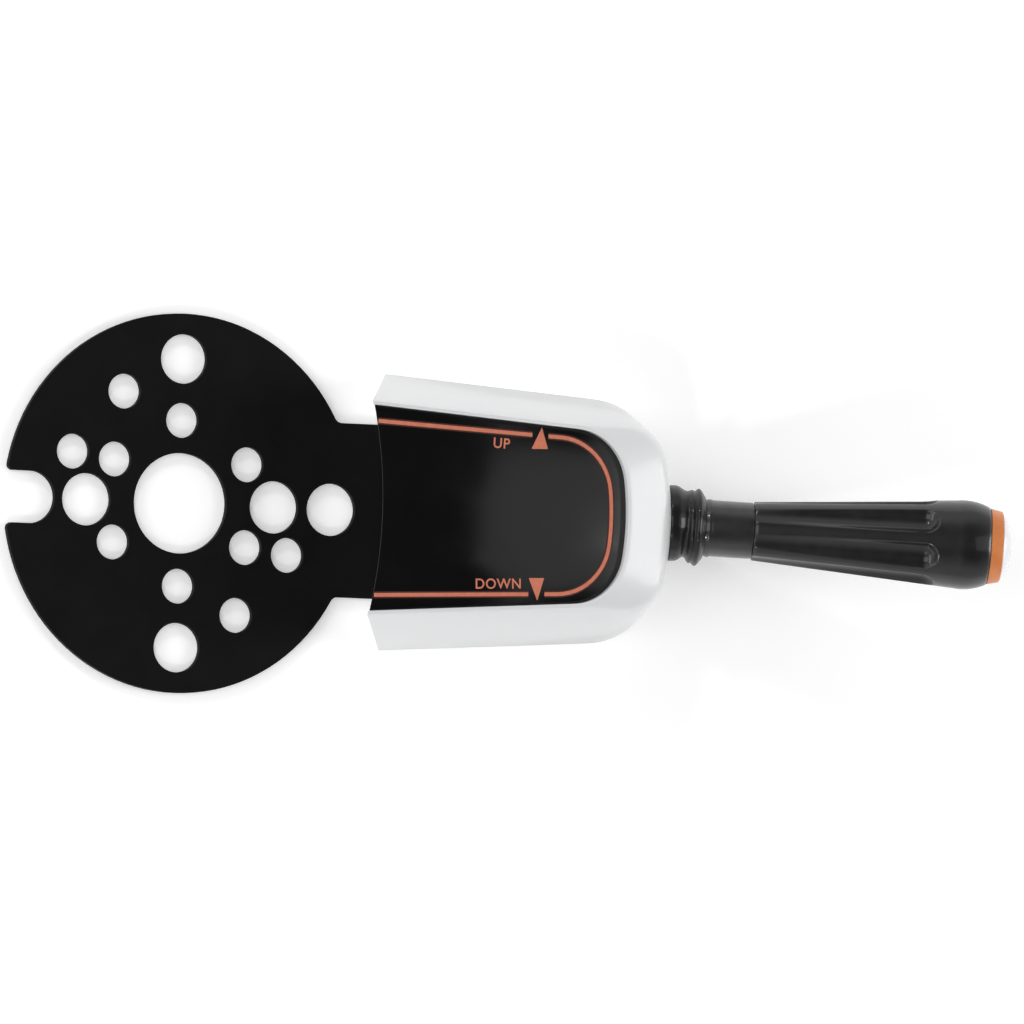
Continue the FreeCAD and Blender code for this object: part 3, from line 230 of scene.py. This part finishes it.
def plated_steel():
    zinc = Finish("zinc_plated_steel", (0.6, 0.6, 0.57), 0.34, Metallic=1.0)
    zinc.tint(zinc.noise(4.0), (0.5, 0.51, 0.5), (0.66, 0.65, 0.6))
    zinc.gloss(zinc.noise(1.5), 0.28, 0.42)
    return zinc.bump(zinc.noise(0.6), 0.005).material


def turned_stainless():
    steel = Finish("turned_stainless", (0.66, 0.66, 0.67), 0.22, Metallic=1.0)
    steel.gloss(steel.noise(0.8, 2.0, steel.stretched(1.0, 1.0, 7.0)), 0.16, 0.3)
    return steel.bump(steel.noise(0.3, 2.0, steel.stretched(1.0, 1.0, 6.0)), 0.003).material


def sintered_bronze():
    bronze = Finish("sintered_bronze", (0.42, 0.26, 0.12), 0.4, Metallic=1.0)
    bronze.tint(bronze.cells(0.6), (0.28, 0.17, 0.08), (0.46, 0.29, 0.13), 0.1, 0.5)
    return bronze.bump(bronze.cells(0.6), 0.01).material


def contact_brass():
    brass = Finish("contact_brass", (0.68, 0.5, 0.2), 0.26, Metallic=1.0)
    brass.tint(brass.noise(3.0), (0.6, 0.42, 0.16), (0.72, 0.54, 0.24))
    return brass.gloss(brass.noise(0.9), 0.2, 0.34).material


def moulded(name, colour, roughness):
    """Moulded plastic with a fine spark-eroded grain."""
    plastic = Finish(name, colour, roughness)
    dark, light = (tuple(part * share for part in colour) for share in (0.9, 1.08))
    plastic.tint(plastic.noise(9.0), dark, light)
    plastic.gloss(plastic.noise(1.4), roughness - 0.05, roughness + 0.07)
    return plastic.bump(plastic.noise(0.5, 2.0), 0.012).material


finishes = {
    "plate_black": powder_coat(),
    "shell_white": shell_gloss(),
    "panel_black": panel_gloss(),
    "rubber": boot_rubber(),
    "sleeve_black": sleeve_satin(),
    "grip_black": grip_soft_touch(),
    "accent_orange": ring_orange(),
    "cap_white": cap_pearl(),
    "zinc_steel": plated_steel(),
    "stainless": turned_stainless(),
    "bronze": sintered_bronze(),
    "contact_brass": contact_brass(),
    "case_nylon": moulded("case_grey_nylon", (0.055, 0.056, 0.06), 0.5),
    "carriage_acetal": moulded("carriage_ivory_acetal", (0.62, 0.59, 0.5), 0.38),
    "cover_black": moulded("cover_black_nylon", (0.016, 0.016, 0.017), 0.5),
    "core_nylon": moulded("core_natural_nylon", (0.5, 0.49, 0.44), 0.42),
}
line_ink = print_ink("panel_orange_ink", (0.68, 0.2, 0.115))
# This dark red is painted shadow: a wider dark rim under the orange line that stands for the shade along
# its edges
line_shadow = print_ink("panel_line_painted_shadow", (0.05, 0.004, 0.002))


# Making and placing pieces
def piece_from(name, bm, finish, smooth=35.0):
    mesh = bpy.data.meshes.new(name)
    bm.to_mesh(mesh)
    bm.free()
    return piece_of(name, mesh, finish, smooth)


def piece_of(name, mesh, finish, smooth=35.0):
    mesh.materials.clear()
    mesh.materials.append(finish)
    mesh.shade_smooth()
    mesh.set_sharp_from_angle(angle=math.radians(smooth))
    piece = bpy.data.objects.new(name, mesh)
    scene.collection.objects.link(piece)
    return piece


def soften(piece, width, angle=30.0, segments=3):
    """Rounds the piece's sharp edges; width is in millimetres."""
    bevel = piece.modifiers.new("rounded_edges", "BEVEL")
    bevel.width = width * 0.001
    bevel.segments = segments
    bevel.limit_method = "ANGLE"
    bevel.angle_limit = math.radians(angle)
    bevel.use_clamp_overlap = False
    bevel.harden_normals = True


def stands_for(piece, node, body):
    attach(piece, body)
    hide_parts(node)


def merged(node):
    """A copy of a CAD node's mesh with its loose triangles joined up."""
    bm = bmesh.new()
    bm.from_mesh(frame["nodes"][node].data)
    bmesh.ops.remove_doubles(bm, verts=bm.verts, dist=2e-6)
    bmesh.ops.dissolve_limit(bm, angle_limit=math.radians(0.05), verts=bm.verts, edges=bm.edges)
    return bm


def turned(points, place, steps=96, pressed=None):
    """Turns a closed profile of (radius, length) points about the frame's Z axis."""
    bm = bmesh.new()
    corners = [bm.verts.new(mm(radius, 0, length)) for radius, length in points]
    for start, end in zip(corners, corners[1:] + corners[:1]):
        bm.edges.new((start, end))
    wire = bm.verts[:] + bm.edges[:]
    bmesh.ops.spin(
        bm, geom=wire, axis=(0, 0, 1), cent=(0, 0, 0), angle=math.tau, steps=steps, use_merge=True
    )
    bmesh.ops.remove_doubles(bm, verts=bm.verts, dist=1e-6)
    bmesh.ops.recalc_face_normals(bm, faces=bm.faces)
    if pressed:
        pressed(bm)
    bmesh.ops.transform(bm, matrix=place, verts=bm.verts)
    return bm


def swung(bm, vert, centre, angle, steps):
    """Draws an arc from a vertex round an upright axis and returns the arc's last vertex."""
    arc = bmesh.ops.spin(bm, geom=[vert], axis=(0, 0, 1), cent=centre, angle=angle, steps=steps)
    return next(item for item in arc["geom_last"] if isinstance(item, bmesh.types.BMVert))


def u_loop(bm, height, half, corner, tip, left, taper=SIDE_TAPER, nose=NOSE_RADIUS):
    """A closed wire: two tapering sides, two round corners, a broad nose and a hollow left end."""
    corner_steps, nose_steps, end_steps = 12, 24, 20
    lean = math.radians(taper)
    centre_x = left - END_ARC
    start_x = left
    for _ in range(6):
        start_half = half + (DATUM - start_x) * math.tan(lean)
        start_x = centre_x + math.sqrt(END_ARC**2 - start_half**2)
    along = Vector((math.cos(lean), -math.sin(lean)))
    inward = Vector((-math.sin(lean), -math.cos(lean)))
    start = Vector((start_x, start_half))
    rail = start + inward * corner - Vector((tip - nose, 0))
    reach = rail.dot(along)
    run = -reach + math.sqrt(reach**2 - rail.length_squared + (nose - corner) ** 2)
    side_end = start + along * run
    corner_centre = side_end + inward * corner
    nose_angle = math.atan2(corner_centre.y, corner_centre.x - (tip - nose))
    corner_turn = math.pi / 2 - lean - nose_angle
    before = set(bm.edges)
    upper = bm.verts.new(mm(start.x, start.y, height))
    turn = bm.verts.new(mm(side_end.x, side_end.y, height))
    bm.edges.new((upper, turn))
    turn = swung(bm, turn, mm(corner_centre.x, corner_centre.y), -corner_turn, corner_steps)
    turn = swung(bm, turn, mm(tip - nose), -nose_angle * 2, nose_steps)
    turn = swung(bm, turn, mm(corner_centre.x, -corner_centre.y), -corner_turn, corner_steps)
    lower = bm.verts.new(mm(start.x, -start.y, height))
    bm.edges.new((turn, lower))
    end_angle = math.asin(start.y / END_ARC)
    swung(bm, lower, mm(centre_x), end_angle * 2, end_steps)
    # A dict keeps the order of making, which a set of vertices or edges would change from run to run
    corners = dict.fromkeys(vert for edge in bm.edges if edge not in before for vert in edge.verts)
    bmesh.ops.remove_doubles(bm, verts=list(corners), dist=2e-6)
    return list(dict.fromkeys(edge for vert in corners if vert.is_valid for edge in vert.link_edges))


def lofted(loops, **shape):
    """A closed body through rising outlines, each given as height, half width, corner, tip, left."""
    bm = bmesh.new()
    wires = [u_loop(bm, *loop, **shape) for loop in loops]
    for low, high in zip(wires, wires[1:]):
        bmesh.ops.bridge_loops(bm, edges=low + high)
    for wire in (wires[0], wires[-1]):
        bmesh.ops.contextual_create(bm, geom=wire)
    bmesh.ops.recalc_face_normals(bm, faces=bm.faces)
    return bm


def side_half(height):
    return BASE_HALF + (FACE_HALF - BASE_HALF) * height / FACE_HEIGHT


def end_reach(height):
    return DATUM + (FACE_HEIGHT - height) * END_RAKE


def rod_along(bm, place, low, high, radius, segments=64):
    """A round bar along the frame's Z axis from one height to another."""
    size, depth = radius * 0.001, (high - low) * 0.001
    matrix = place @ Matrix.Translation(mm(0, 0, (low + high) / 2))
    bmesh.ops.create_cone(
        bm, cap_ends=True, segments=segments, radius1=size, radius2=size, depth=depth, matrix=matrix
    )


def post(bm, x, y, low, high, radius):
    rod_along(bm, Matrix.Translation(mm(x, y)), low, high, radius, segments=32)


def carve(piece, steps):
    """Cuts or joins shapes with the piece and keeps the outcome as its own mesh."""
    tools = []
    for operation, bm in steps:
        mesh = bpy.data.meshes.new("carving_tool")
        bm.to_mesh(mesh)
        bm.free()
        tool = bpy.data.objects.new("carving_tool", mesh)
        scene.collection.objects.link(tool)
        cut = piece.modifiers.new(operation, "BOOLEAN")
        cut.operation, cut.object, cut.solver = operation, tool, "EXACT"
        tools.append(tool)
    graph = bpy.context.evaluated_depsgraph_get()
    mesh = bpy.data.meshes.new_from_object(piece.evaluated_get(graph))
    piece.modifiers.clear()
    piece.data = mesh
    for tool in tools:
        bpy.data.objects.remove(tool)


# Mounting plate: the cut sheet with its edges broken
plate = piece_from("mounting_plate_coated", merged("mounting_plate"), finishes["plate_black"])
soften(plate, 0.25, 40.0, 2)
stands_for(plate, "mounting_plate", "base")


# Housing
def nose_points():
    """Tip and corner radius with their heights, from the base to the face, rounded over at the shoulder."""
    rounding, steps = 6.0, 8
    base = Vector((0.0, BASE_TIP, BASE_CORNER))
    shoulder = Vector((SHOULDER_HEIGHT, BASE_TIP - SHOULDER_HEIGHT * NOSE_LEAN, SHOULDER_CORNER))
    face = Vector((FACE_HEIGHT, FACE_TIP, FACE_CORNER))
    below = shoulder + (base - shoulder) * rounding / (base - shoulder).xy.length
    above = shoulder + (face - shoulder) * rounding / (face - shoulder).xy.length
    rounded = []
    for step in range(steps + 1):
        share = step / steps
        rounded.append(below * (1 - share) ** 2 + shoulder * 2 * share * (1 - share) + above * share**2)
    return [base] + rounded + [face]


def housing_outside():
    """The moulding's outer shape, with its lower and upper edges rounded over."""
    points = nose_points()
    nose_slope = 3.2
    loops = []
    for height, inset in ((0.0, 0.3), (0.09, 0.09), (0.3, 0.0)):
        half, tip = side_half(height) - inset, BASE_TIP - height * NOSE_LEAN - inset
        loops.append((height, half, BASE_CORNER - inset, tip, end_reach(height) + inset))
    for height, tip, corner in points[1:-1]:
        loops.append((height, side_half(height), corner, tip, end_reach(height)))
    for drop, inset in ((0.45, 0.0), (0.13, 0.13), (0.0, 0.45)):
        height = FACE_HEIGHT - drop
        half, tip = side_half(height) - inset, FACE_TIP + drop * nose_slope - inset
        loops.append((height, half, FACE_CORNER - inset, tip, end_reach(height) + inset))
    return lofted(loops)


def housing_cavity():
    """The hollow, from just under the base to the shoulder and the roof."""
    under, shoulder, roof = -1.0, SHOULDER_HEIGHT - WALL, ROOF_UNDERSIDE
    shoulder_half, roof_half = side_half(SHOULDER_HEIGHT) - WALL, FACE_HALF - WALL
    loops = [
        (under, BASE_HALF - WALL, BASE_CORNER - WALL, 186.5, end_reach(under) + END_WALL),
        (shoulder, shoulder_half, SHOULDER_CORNER - WALL, 180.4, end_reach(shoulder) + END_WALL),
        (roof, roof_half, FACE_CORNER - WALL, FACE_TIP - WALL, end_reach(roof) + END_WALL),
    ]
    return lofted(loops)


def housing_bosses():
    """Posts for the tongue's and the cover's screws, and the boot's seat inside the nose."""
    bm = bmesh.new()
    boss_x, boss_y = TONGUE_BOSS
    for side in (1, -1):
        post(bm, boss_x, boss_y * side, PLATE_TOP, 31.2, TONGUE_BOSS_RADIUS)
        for x, y in COVER_BOSSES:
            post(bm, x, y * side, PLATE_TOP, 10.0, COVER_BOSS_RADIUS)
    rod_along(bm, wall_place, -3.0, -0.3, 13.6)
    return bm


def housing_cuts():
    """Screw and stud holes, the boot's hole, and the slot for the tongue in the end wall."""
    bm = bmesh.new()
    boss_x, boss_y = TONGUE_BOSS
    for side in (1, -1):
        post(bm, boss_x, boss_y * side, -1.0, 14.0, 2.05)
        for x, y in COVER_BOSSES:
            post(bm, x, y * side, -1.0, 9.0, 1.55)
        for x in STUD_DISTANCES:
            post(bm, x, STUD_SIDE * side, 29.0, 32.3, 1.55)
    rod_along(bm, wall_place, -12.0, 6.0, 9.5)
    slot = Matrix.Translation(mm(73.0, 0, 0.75)) @ Matrix.Diagonal((0.045, 0.0639, 0.0035, 1.0))
    bmesh.ops.create_cube(bm, size=1.0, matrix=slot)
    return bm


above_face, before_end = 40.0, 40.0
lip_loop = (FACE_HALF - LIP, FACE_CORNER - LIP, FACE_TIP - LIP, before_end)
recess = lofted([(PANEL_SEAT, *lip_loop), (above_face, *lip_loop)], nose=NOSE_RADIUS - LIP)
shell = piece_from("housing_moulding", housing_outside(), finishes["shell_white"])
carve(
    shell,
    [
        ("DIFFERENCE", housing_cavity()),
        ("UNION", housing_bosses()),
        ("DIFFERENCE", housing_cuts()),
        ("DIFFERENCE", recess),
    ],
)
shell.data.shade_smooth()
shell.data.set_sharp_from_angle(angle=math.radians(30))
stands_for(shell, "housing_shell", "base")


# Face panel with its studs, its printed line, arrows and words
def panel_blank():
    """The panel with a rounded upper edge and its four studs."""
    half, corner, tip = (size - PANEL_INSET for size in (FACE_HALF, FACE_CORNER, FACE_TIP))
    edge = ((PANEL_SEAT, 0.0), (PANEL_TOP - 0.35, 0.0), (PANEL_TOP - 0.1, 0.1), (PANEL_TOP, 0.35))
    loops = []
    for height, inset in edge:
        loops.append((height, half - inset, corner - inset, tip - inset, end_reach(height) + inset))
    bm = lofted(loops, nose=NOSE_RADIUS - PANEL_INSET)
    for side in (1, -1):
        for x in STUD_DISTANCES:
            post(bm, x, STUD_SIDE * side, 28.0, PANEL_SEAT, 1.5)
    return bm


panel = piece_from("face_panel_gloss", panel_blank(), finishes["panel_black"])
stands_for(panel, "face_panel", "base")


SHADOW_HEIGHT = PANEL_TOP + 0.005
INK_HEIGHT = PANEL_TOP + 0.02


def printed_line(width, height):
    """A strip along the panel's outline, open at the left end and broken for both arrows."""
    bm = bmesh.new()
    half, corner, tip, left, nose = 31.6, 20.9, 157.0, 55.0, 91.0
    open_end, gap_start, gap_end = 63.9, 124.9, 131.3
    wires = []
    for edge in (-width / 2, width / 2):
        size = (half + edge, corner + edge, tip + edge, left - edge)
        wires.append(u_loop(bm, height, *size, taper=2.45, nose=nose + edge))
    bmesh.ops.bridge_loops(bm, edges=wires[0] + wires[1])
    for x in (open_end, gap_start, gap_end):
        everything = bm.verts[:] + bm.edges[:] + bm.faces[:]
        bmesh.ops.bisect_plane(bm, geom=everything, dist=1e-7, plane_co=mm(x), plane_no=(1, 0, 0))
    middles = [(face, face.calc_center_median().x * 1000) for face in bm.faces]
    unwanted = [face for face, x in middles if x < open_end or gap_start < x < gap_end]
    bmesh.ops.delete(bm, geom=unwanted, context="FACES")
    return raised(bm)


def raised(bm):
    """Gives flat print a skin of ink and turns it outwards."""
    bmesh.ops.recalc_face_normals(bm, faces=bm.faces)
    top = bmesh.ops.extrude_face_region(bm, geom=bm.faces[:])
    lifted = [item for item in top["geom"] if isinstance(item, bmesh.types.BMVert)]
    bmesh.ops.translate(bm, verts=lifted, vec=mm(0, 0, 0.03))
    bmesh.ops.recalc_face_normals(bm, faces=bm.faces)
    return bm


def arrow(points):
    bm = bmesh.new()
    corners = [bm.verts.new(mm(x, y, INK_HEIGHT)) for x, y in points]
    bmesh.ops.contextual_create(bm, geom=corners)
    bmesh.ops.bevel(
        bm, geom=bm.verts[:], offset=0.0003, affect="VERTICES", segments=3, profile=0.5, material=-1
    )
    return raised(bm)


def word(name, text, right, middle, turn, cap_height):
    """A word in plain capitals, laid on the panel with its right end at a point."""
    letters = bpy.data.curves.new(name, "FONT")
    letters.body = text
    letters.space_character = 1.08
    letters.offset = 0.012
    letters.resolution_u = 6
    holder = bpy.data.objects.new(name, letters)
    scene.collection.objects.link(holder)
    graph = bpy.context.evaluated_depsgraph_get()
    mesh = bpy.data.meshes.new_from_object(holder.evaluated_get(graph))
    bpy.data.objects.remove(holder)
    highest = max(vert.co.y for vert in mesh.vertices)
    furthest = max(vert.co.x for vert in mesh.vertices)
    scale = cap_height * 0.001 / highest
    start = Matrix.Translation((-furthest, -highest / 2, 0))
    spot = Matrix.Translation(mm(right, middle, INK_HEIGHT)) @ Matrix.Rotation(math.radians(turn), 4, "Z")
    mesh.transform(spot @ Matrix.Scale(scale, 4) @ start)
    bm = bmesh.new()
    bm.from_mesh(mesh)
    bmesh.ops.remove_doubles(bm, verts=bm.verts, dist=1e-6)
    return piece_from(name, raised(bm), line_ink)


prints = [
    # The wider dark strip under the line is a painted shadow along the line's edges
    piece_from("panel_line_shadow", printed_line(2.5, SHADOW_HEIGHT), line_shadow),
    piece_from("panel_line", printed_line(1.4, INK_HEIGHT), line_ink),
    piece_from("arrow_up", arrow([(124.7, 23.9), (131.2, 24.1), (128.6, 31.9)]), line_ink),
    piece_from("arrow_down", arrow([(131.0, -22.9), (124.9, -23.1), (128.5, -31.3)]), line_ink),
    word("word_up", "UP", 116.1, 25.4, -2.4, 3.7),
    word("word_down", "DOWN", 121.8, -25.2, 2.4, 3.7),
]
for mark in prints:
    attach(mark, "base")


# Rubber boot: flange on the wall, waist, a ring with two ribs, and a collar on the sleeve
boot_side = [
    (13.8, -0.7),
    (13.9, 0.6),
    (13.9, 2.4),
    (13.6, 3.4),
    (12.9, 4.4),
    (12.3, 5.3),
    (12.1, 6.0),
    (12.4, 6.7),
    (13.1, 7.3),
    (13.5, 7.9),
    (13.4, 8.4),
    (13.1, 8.9),
    (13.5, 9.3),
    (14.1, 9.8),
    (14.3, 10.4),
    (13.8, 11.1),
    (12.7, 11.9),
    (11.8, 12.4),
    (11.4, 12.9),
    (10.6, 12.9),
    (10.6, 8.2),
    (9.5, 8.2),
    (9.5, 3.4),
    (8.0, 0.0),
    (8.0, -4.6),
    (11.2, -4.6),
    (11.2, -3.05),
    (9.45, -3.05),
    (9.45, -0.7),
]


def bend_boot(bm):
    """Leads the boot from the wall's axis to the lever's, with its fold deeper on one side."""
    fold_depth, fold_at, fold_spread = 0.6, 6.0, 1.6
    bend_start, bend_length = 3.0, 5.0
    for vert in bm.verts:
        length = vert.co.z * 1000
        fold = fold_depth * math.exp(-(((length - fold_at) / fold_spread) ** 2))
        vert.co.xy *= 1 + fold * vert.co.y / vert.co.xy.length_squared * 0.001
        share = min(max((length - bend_start) / bend_length, 0), 1)
        share = share * share * (3 - 2 * share)
        vert.co = (wall_place @ vert.co).lerp(lever_place @ vert.co, share)


boot_mesh = turned(boot_side, Matrix.Identity(4), steps=64, pressed=bend_boot)
boot = piece_from("lever_boot_moulded", boot_mesh, finishes["rubber"], 60.0)
smoothing = boot.modifiers.new("smoothing", "SUBSURF")
smoothing.levels = 2
smoothing.render_levels = 2
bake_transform(boot)
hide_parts("lever_boot")


# Lever: sleeve, fluted grip, orange ring and domed cap
sleeve_side = [
    (3.6, 8.2),
    (10.3, 8.2),
    (10.3, 13.3),
    (10.45, 13.7),
    (10.6, 14.2),
    (10.6, 14.9),
    (10.45, 15.4),
    (10.3, 15.8),
    (10.3, 30.0),
    (10.2, 30.5),
    (9.9, 30.9),
    (3.6, 30.9),
]
sleeve_mesh = turned(sleeve_side, lever_place)
sleeve = piece_from("neck_sleeve_turned", sleeve_mesh, finishes["sleeve_black"], 40.0)
stands_for(sleeve, "neck_sleeve", "lever")

GRIP_START = 30.9
GRIP_SWELL = 105.4
GRIP_END = 117.4
GRIP_FOOT_RADIUS = 10.8
GRIP_GROWTH = 5.3
SWELL_ARC = 20.5
ARC_CENTRE = 108.04
ARC_DEPTH = 4.23
FLUTE_END = 92.5
FLUTES = 7
FLUTE_RADIUS = 6
FLUTE_FLOOR = 10.2
FLUTE_FLOOR_GROWTH = 1.88
FIRST_FLUTE = math.radians(151)


def grip_radius(length):
    """A cone that swells outwards, then rolls over on an arc."""
    if length <= GRIP_SWELL:
        return GRIP_FOOT_RADIUS + (length - GRIP_START) * GRIP_GROWTH / (GRIP_SWELL - GRIP_START)
    return math.sqrt(SWELL_ARC**2 - (length - ARC_CENTRE) ** 2) - ARC_DEPTH


def flute_floor(length):
    return FLUTE_FLOOR + (length - GRIP_START) * FLUTE_FLOOR_GROWTH / (FLUTE_END - GRIP_START)


def press_flutes(bm):
    """Presses round-ended flutes into the grip and rolls their edges over."""
    pitch = math.tau / FLUTES
    rolled = 0.7
    inner_faces = 9.5
    for vert in bm.verts:
        radius, length = vert.co.xy.length * 1000, vert.co.z * 1000
        if radius < inner_faces or length > FLUTE_END + FLUTE_RADIUS:
            continue
        angle = math.atan2(vert.co.y, vert.co.x) - FIRST_FLUTE
        away = (angle + pitch / 2) % pitch - pitch / 2
        centre = flute_floor(min(length, FLUTE_END)) + FLUTE_RADIUS
        inside = FLUTE_RADIUS**2 - max(length - FLUTE_END, 0) ** 2 - (centre * math.sin(away)) ** 2
        if inside <= 0 or abs(away) > math.pi / 2:
            continue
        pressed = centre * math.cos(away) - math.sqrt(inside)
        overlap = max(rolled - abs(radius - pressed), 0)
        vert.co.xy *= (min(radius, pressed) - overlap**2 / (rolled * 4)) / radius


def grip_side():
    """The grip's profile: its long side, the pocket for the ring's spigot, and the bore."""
    bore, pocket, pocket_floor = 6.05, 9.0, 104.5
    stations = [GRIP_START + 0.4 + step for step in range(57)]
    stations += [88 + step * 0.35 for step in range(34)]
    stations += [100 + step * 0.9 for step in range(20)]
    side = [(grip_radius(length), length) for length in stations if length < GRIP_END - 0.3]
    lip = [(13.85, GRIP_END - 0.2), (13.55, GRIP_END), (pocket, GRIP_END)]
    inside = [(pocket, pocket_floor), (bore, pocket_floor)]
    return [(bore, GRIP_START), (10.3, GRIP_START), (10.6, GRIP_START + 0.1)] + side + lip + inside


grip_mesh = turned(grip_side(), lever_place, steps=FLUTES * 40, pressed=press_flutes)
grip = piece_from("grip_fluted", grip_mesh, finishes["grip_black"], 50.0)
stands_for(grip, "grip", "lever")

for node, name, slot, width in (
    ("accent_ring", "accent_ring_painted", "accent_orange", 0.3),
    ("end_cap", "end_cap_domed", "cap_white", 0.5),
):
    part = piece_from(name, merged(node), finishes[slot], 30.0)
    soften(part, width, 35.0)
    stands_for(part, node, "lever")


# Return springs: remade from their CAD meshes as joined coils, fixed where they rest
for node in ("return_spring_upper", "return_spring_lower"):
    spring = piece_from(f"{node}_coil", merged(node), finishes["stainless"], 60.0)
    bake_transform(spring)
    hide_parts(node)


# Everything else keeps its CAD shape under its own finish
slot_of = {piece["node"]: piece["material_slot"] for piece in frame["record"]["subparts"]}
for node, part in frame["nodes"].items():
    part.data.materials.clear()
    part.data.materials.append(finishes[slot_of[node]])


# Floor, lights and camera
floor_bm = bmesh.new()
floor_place = Matrix.Translation(mm(0, 0, -0.6))
bmesh.ops.create_grid(floor_bm, x_segments=2, y_segments=2, size=6.0, matrix=floor_place)
glow = {"Emission_Color": (1.0, 1.0, 1.0, 1.0), "Emission_Strength": 0.25}
pale = Finish("floor_pale", (0.95, 0.95, 0.95), 0.9, **glow)
pale.tint(pale.noise(400.0), (0.94, 0.94, 0.94), (0.96, 0.96, 0.96))
piece_from("floor", floor_bm, pale.material)


def soft_light(name, place, target, size, power):
    lamp = bpy.data.lights.new(name, "AREA")
    lamp.shape = "RECTANGLE"
    lamp.size, lamp.size_y = size
    lamp.energy = power
    holder = bpy.data.objects.new(name, lamp)
    holder.location = place
    holder.rotation_euler = (Vector(target) - Vector(place)).to_track_quat("-Z", "Y").to_euler()
    scene.collection.objects.link(holder)


middle = (0.12, 0.0, 0.02)
soft_light("overhead_softbox", (0.80, 0.06, 0.80), (0.25, 0.0, 0.0), (0.6, 1.0), 1.2)
soft_light("left_softbox", (-0.8, 0.1, 1.2), middle, (0.9, 0.9), 5.0)
soft_light("low_left_softbox", (-0.87, 0.0, 0.41), (0.27, 0.0, 0.05), (1.2, 0.25), 3.0)
soft_light("near_spot", (-0.29, -0.65, 0.62), (0.24, -0.01, 0.05), (0.07, 0.07), 1.3)
soft_light("far_spot", (-0.28, 0.75, 0.50), (0.24, -0.01, 0.05), (0.07, 0.07), 1.3)
soft_light("far_softbox", (0.1, 1.3, 0.6), middle, (1.2, 0.6), 0.4)
soft_light("near_softbox", (0.1, -1.3, 0.6), middle, (1.2, 0.6), 0.1)
soft_light("right_softbox", (1.4, 0.0, 0.45), (0.2, 0.0, 0.02), (0.5, 1.2), 9.5)

world = bpy.data.worlds.new("studio")
world.use_nodes = True
sky = world.node_tree
direction = sky.nodes.new("ShaderNodeTexCoord")
parts = sky.nodes.new("ShaderNodeSeparateXYZ")
shade = sky.nodes.new("ShaderNodeValToRGB")
shade.color_ramp.elements[0].position = 0.35
shade.color_ramp.elements[0].color = (1.0, 1.0, 1.0, 1.0)
shade.color_ramp.elements[1].position = 0.8
shade.color_ramp.elements[1].color = (0.05, 0.05, 0.05, 1.0)
sky.links.new(direction.outputs["Generated"], parts.inputs["Vector"])
sky.links.new(parts.outputs["Z"], shade.inputs["Fac"])
sky.links.new(shade.outputs["Color"], sky.nodes["Background"].inputs["Color"])
sky.nodes["Background"].inputs["Strength"].default_value = 0.66
scene.world = world
scene.view_settings.view_transform = "Standard"

# The photograph's frame is 372.1 mm wide at the object, and its middle looks at this point
look_at = mm(111.6, 0.0, 48.0)
towards_camera = Vector((-0.395, -0.0415, 0.918)).normalized()
rightward = Vector((-0.040, 0.999, 0.028)).cross(towards_camera).normalized()
upward = towards_camera.cross(rightward)
lens = bpy.data.cameras.new("camera")
lens.lens = 1600.0
lens.sensor_width = 36.0
lens.clip_end = 100.0
distance = 0.3721 * lens.lens / lens.sensor_width
camera = bpy.data.objects.new("camera", lens)
turn = Matrix((rightward, upward, towards_camera)).transposed().to_4x4()
camera.matrix_world = Matrix.Translation(look_at + towards_camera * distance) @ turn
scene.collection.objects.link(camera)
scene.camera = camera
